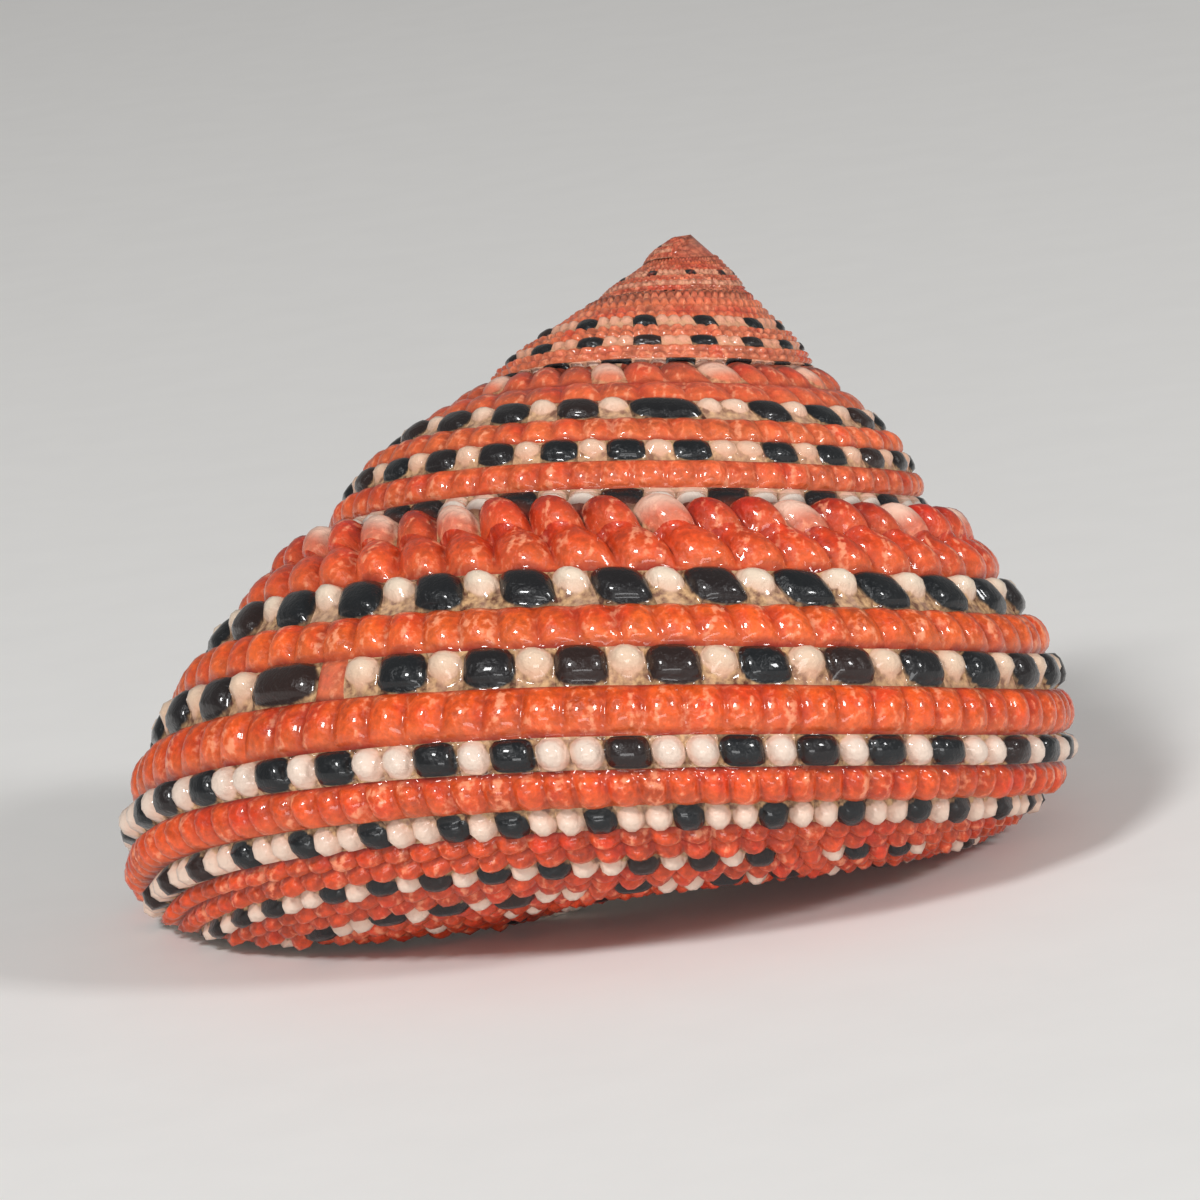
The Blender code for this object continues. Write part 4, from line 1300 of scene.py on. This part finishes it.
# %% Mother-of-pearl
# Thin stacked plates split the light: silvery, with slow bands of pink and green along the growth lines,
# up to three millimetres wide.
pearl, tree, surface = new_material("mother_of_pearl", ior=1.6, roughness=0.22)
bands, _, _ = growth_noise(tree, per_turn=24.0, per_mm=0.35, detail=2.0)
sheen = add(tree, "ValToRGB", [bands])
set_stops(sheen, ((0.35, "#cfe0d4"), (0.5, "#f1ece4"), (0.66, "#ecc9cf")))
tree.links.new(sheen.outputs[0], surface.inputs["Base Color"])
surface.inputs["Metallic"].default_value = 0.35
surface.inputs["Coat Weight"].default_value = 0.5
print(pearl.name, "has", len(tree.nodes), "nodes")

# %% [markdown]
# ## Winding it up
#
# The tree ends in Realize Instances and one Set Material for each part of the surface. The modifier's
# inputs are set by their identifiers, the evaluated result becomes a plain mesh, and the modifier goes.

# %% One material for each part
part = add(wind, "GeometryNodeInputNamedAttribute", {"Name": "part"}, data_type="INT").outputs[0]
body = add(wind, "GeometryNodeRealizeInstances", [body])
for index, material in ((SKIN, pigmented), (LIME, lime), (PEARL, pearl)):
    chosen = add(wind, "FunctionNodeCompare", {2: part, 3: index}, data_type="INT", operation="EQUAL")
    body = add(wind, "GeometryNodeSetMaterial", {"Geometry": body, "Selection": chosen, "Material": material})
wind.links.new(body.outputs[0], result["Geometry"])
print("finished tree:", len(wind.nodes), "nodes")

# %% From the modifier to a plain mesh
flat.data.materials.append(pigmented)
modifier = flat.modifiers.new("winding", "NODES")
modifier.node_group = wind
wanted = {**LOOKS, "Seed": 7}
for item in wind.interface.items_tree:
    if item.in_out == "INPUT" and item.name in wanted:
        modifier[item.identifier] = wanted[item.name]
bpy.context.view_layer.update()
evaluated = flat.evaluated_get(bpy.context.evaluated_depsgraph_get())
mesh = bpy.data.meshes.new_from_object(evaluated)
mesh.name = "beaded_shell"
shell = flat
shell.modifiers.remove(modifier)
shell.data = mesh
print("wound up:", len(mesh.vertices), "vertices")

# %% Faces outwards, and the shell in its place
whole = bmesh.new()
whole.from_mesh(mesh)
bmesh.ops.recalc_face_normals(whole, faces=whole.faces)
loose = [edge for edge in whole.edges if len(edge.link_faces) != 2]
print("edges that don't join two faces:", len(loose), "| volume, mm3:", round(whole.calc_volume() * 1e9, 1))
whole.to_mesh(mesh)
whole.free()
for name in ("here", "there", "wall", "bead", "form", "number", "part"):
    mesh.attributes.remove(mesh.attributes[name])
mesh.shade_smooth()
mesh.calc_loop_triangles()
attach(shell, "root")
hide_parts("shell")
print("shell:", len(mesh.loop_triangles), "triangles, materials", [m.name for m in mesh.materials])

# %% [markdown]
# ## The floor and the light
#
# The floor is plain pale card, as for a catalogue picture. Two small soft boxes stand high at the left and
# the right, and give each bead two small clear highlights. The base looks at the floor, so a wide low fill
# at the front and the card's own bounce light it.

# %% The floor
# Uncoated card, smooth and matt. Its fibres, about 2.5 mm long, only just break the even tone.
FIBRES_PER_M = 400.0
card, tree, surface = new_material("pale_card", ior=1.5, roughness=0.7)
spot = add(tree, "TexCoord").outputs["Object"]
fibre = add(tree, "TexNoise", {"Vector": spot, "Scale": FIBRES_PER_M, "Detail": 3.0}).outputs[0]
colour = add(tree, "Mix", {0: fibre, 6: linear("#f4f3f1"), 7: linear("#efeeec")}, data_type="RGBA")
tree.links.new(colour.outputs[2], surface.inputs["Base Color"])
floor_mesh = bpy.data.meshes.new("floor")
FLOOR_HALF = 3.0
corners = [(x * FLOOR_HALF, y * FLOOR_HALF, 0.0) for x, y in ((-1, -1), (1, -1), (1, 1), (-1, 1))]
floor_mesh.from_pydata(corners, [], [(0, 1, 2, 3)])
floor_mesh.materials.append(card)
floor = bpy.data.objects.new("floor", floor_mesh)
bpy.context.scene.collection.objects.link(floor)
print("floor:", 2 * FLOOR_HALF, "m wide")

# %% The camera
# The photograph looks at the shell from slightly below its own level, and rolled by a few degrees. The
# whole is worked out in the shell's own upright frame, and then tilted to rest with it. The tip of the
# coil lies at a known pixel, and 956 pixels span the shell's 22 mm.
VIEW_TILT, VIEW_ROLL = math.radians(-8.0), math.radians(5.2)
VIEW_DISTANCE, VIEW_LENS = 177.2, 231.0
PIXEL, MIDDLE_PIXEL = 22 / 956, 600
TIP_PIXEL = (691.1, 225.3)
rest = Matrix.Identity(3)
for axis, turned in zip("ZYX", reversed(REST_TILT)):
    rest = rest @ Matrix.Rotation(turned, 3, axis)
back = Vector((0, -math.cos(VIEW_TILT), math.sin(VIEW_TILT)))
rise = Vector((0, math.sin(VIEW_TILT), math.cos(VIEW_TILT)))
right = math.cos(VIEW_ROLL) * Vector((1, 0, 0)) + math.sin(VIEW_ROLL) * rise
up = math.cos(VIEW_ROLL) * rise - math.sin(VIEW_ROLL) * Vector((1, 0, 0))
aim = ((MIDDLE_PIXEL - TIP_PIXEL[0]) * right + (TIP_PIXEL[1] - MIDDLE_PIXEL) * up) * PIXEL
shift = Vector(REST_SHIFT)
eye = (rest @ (VIEW_DISTANCE * back) + shift) * MM
aim = (rest @ aim + shift) * MM
forward = (aim - eye).normalized()
side = forward.cross(rest @ up).normalized()
facing = Matrix((side, side.cross(forward), -forward)).transposed().to_4x4()
camera = bpy.data.objects.new("camera", bpy.data.cameras.new("camera"))
camera.data.lens = VIEW_LENS
camera.data.clip_start = 0.01
camera.matrix_world = Matrix.Translation(eye) @ facing
bpy.context.scene.collection.objects.link(camera)
bpy.context.scene.camera = camera
print("camera at", [round(v, 3) for v in eye])

# %% The lights
# Each box has its azimuth and elevation in degrees, its distance and size in metres, and its power in W.
SHELL_MIDDLE = Vector((0, 0, 0.006))


def soft_box(name, azimuth, elevation, distance, size, power):
    """An area light that looks at the shell. Azimuth 0 is the camera's side."""
    a, e = math.radians(azimuth), math.radians(elevation)
    lamp = bpy.data.lights.new(name, "AREA")
    lamp.shape = "RECTANGLE"
    lamp.size, lamp.size_y = size
    lamp.energy = power
    box = bpy.data.objects.new(name, lamp)
    place = Vector((math.sin(a) * math.cos(e), -math.cos(a) * math.cos(e), math.sin(e)))
    place = SHELL_MIDDLE + distance * place
    facing = (SHELL_MIDDLE - place).to_track_quat("-Z", "Y").to_matrix().to_4x4()
    box.matrix_world = Matrix.Translation(place) @ facing
    bpy.context.scene.collection.objects.link(box)


soft_box("key_left", -33, 42, 0.5, (0.085, 0.085), 1.3)
soft_box("key_right", 58, 30, 0.5, (0.085, 0.085), 0.95)
soft_box("front_fill", 0, 6, 0.6, (0.4, 0.1), 0.9)
world = bpy.data.worlds.new("studio")
world.use_nodes = True
world.node_tree.nodes["Background"].inputs["Color"].default_value = linear("#f6f5f3")
world.node_tree.nodes["Background"].inputs["Strength"].default_value = 0.28
bpy.context.scene.world = world
bpy.context.scene.view_settings.view_transform = "Standard"
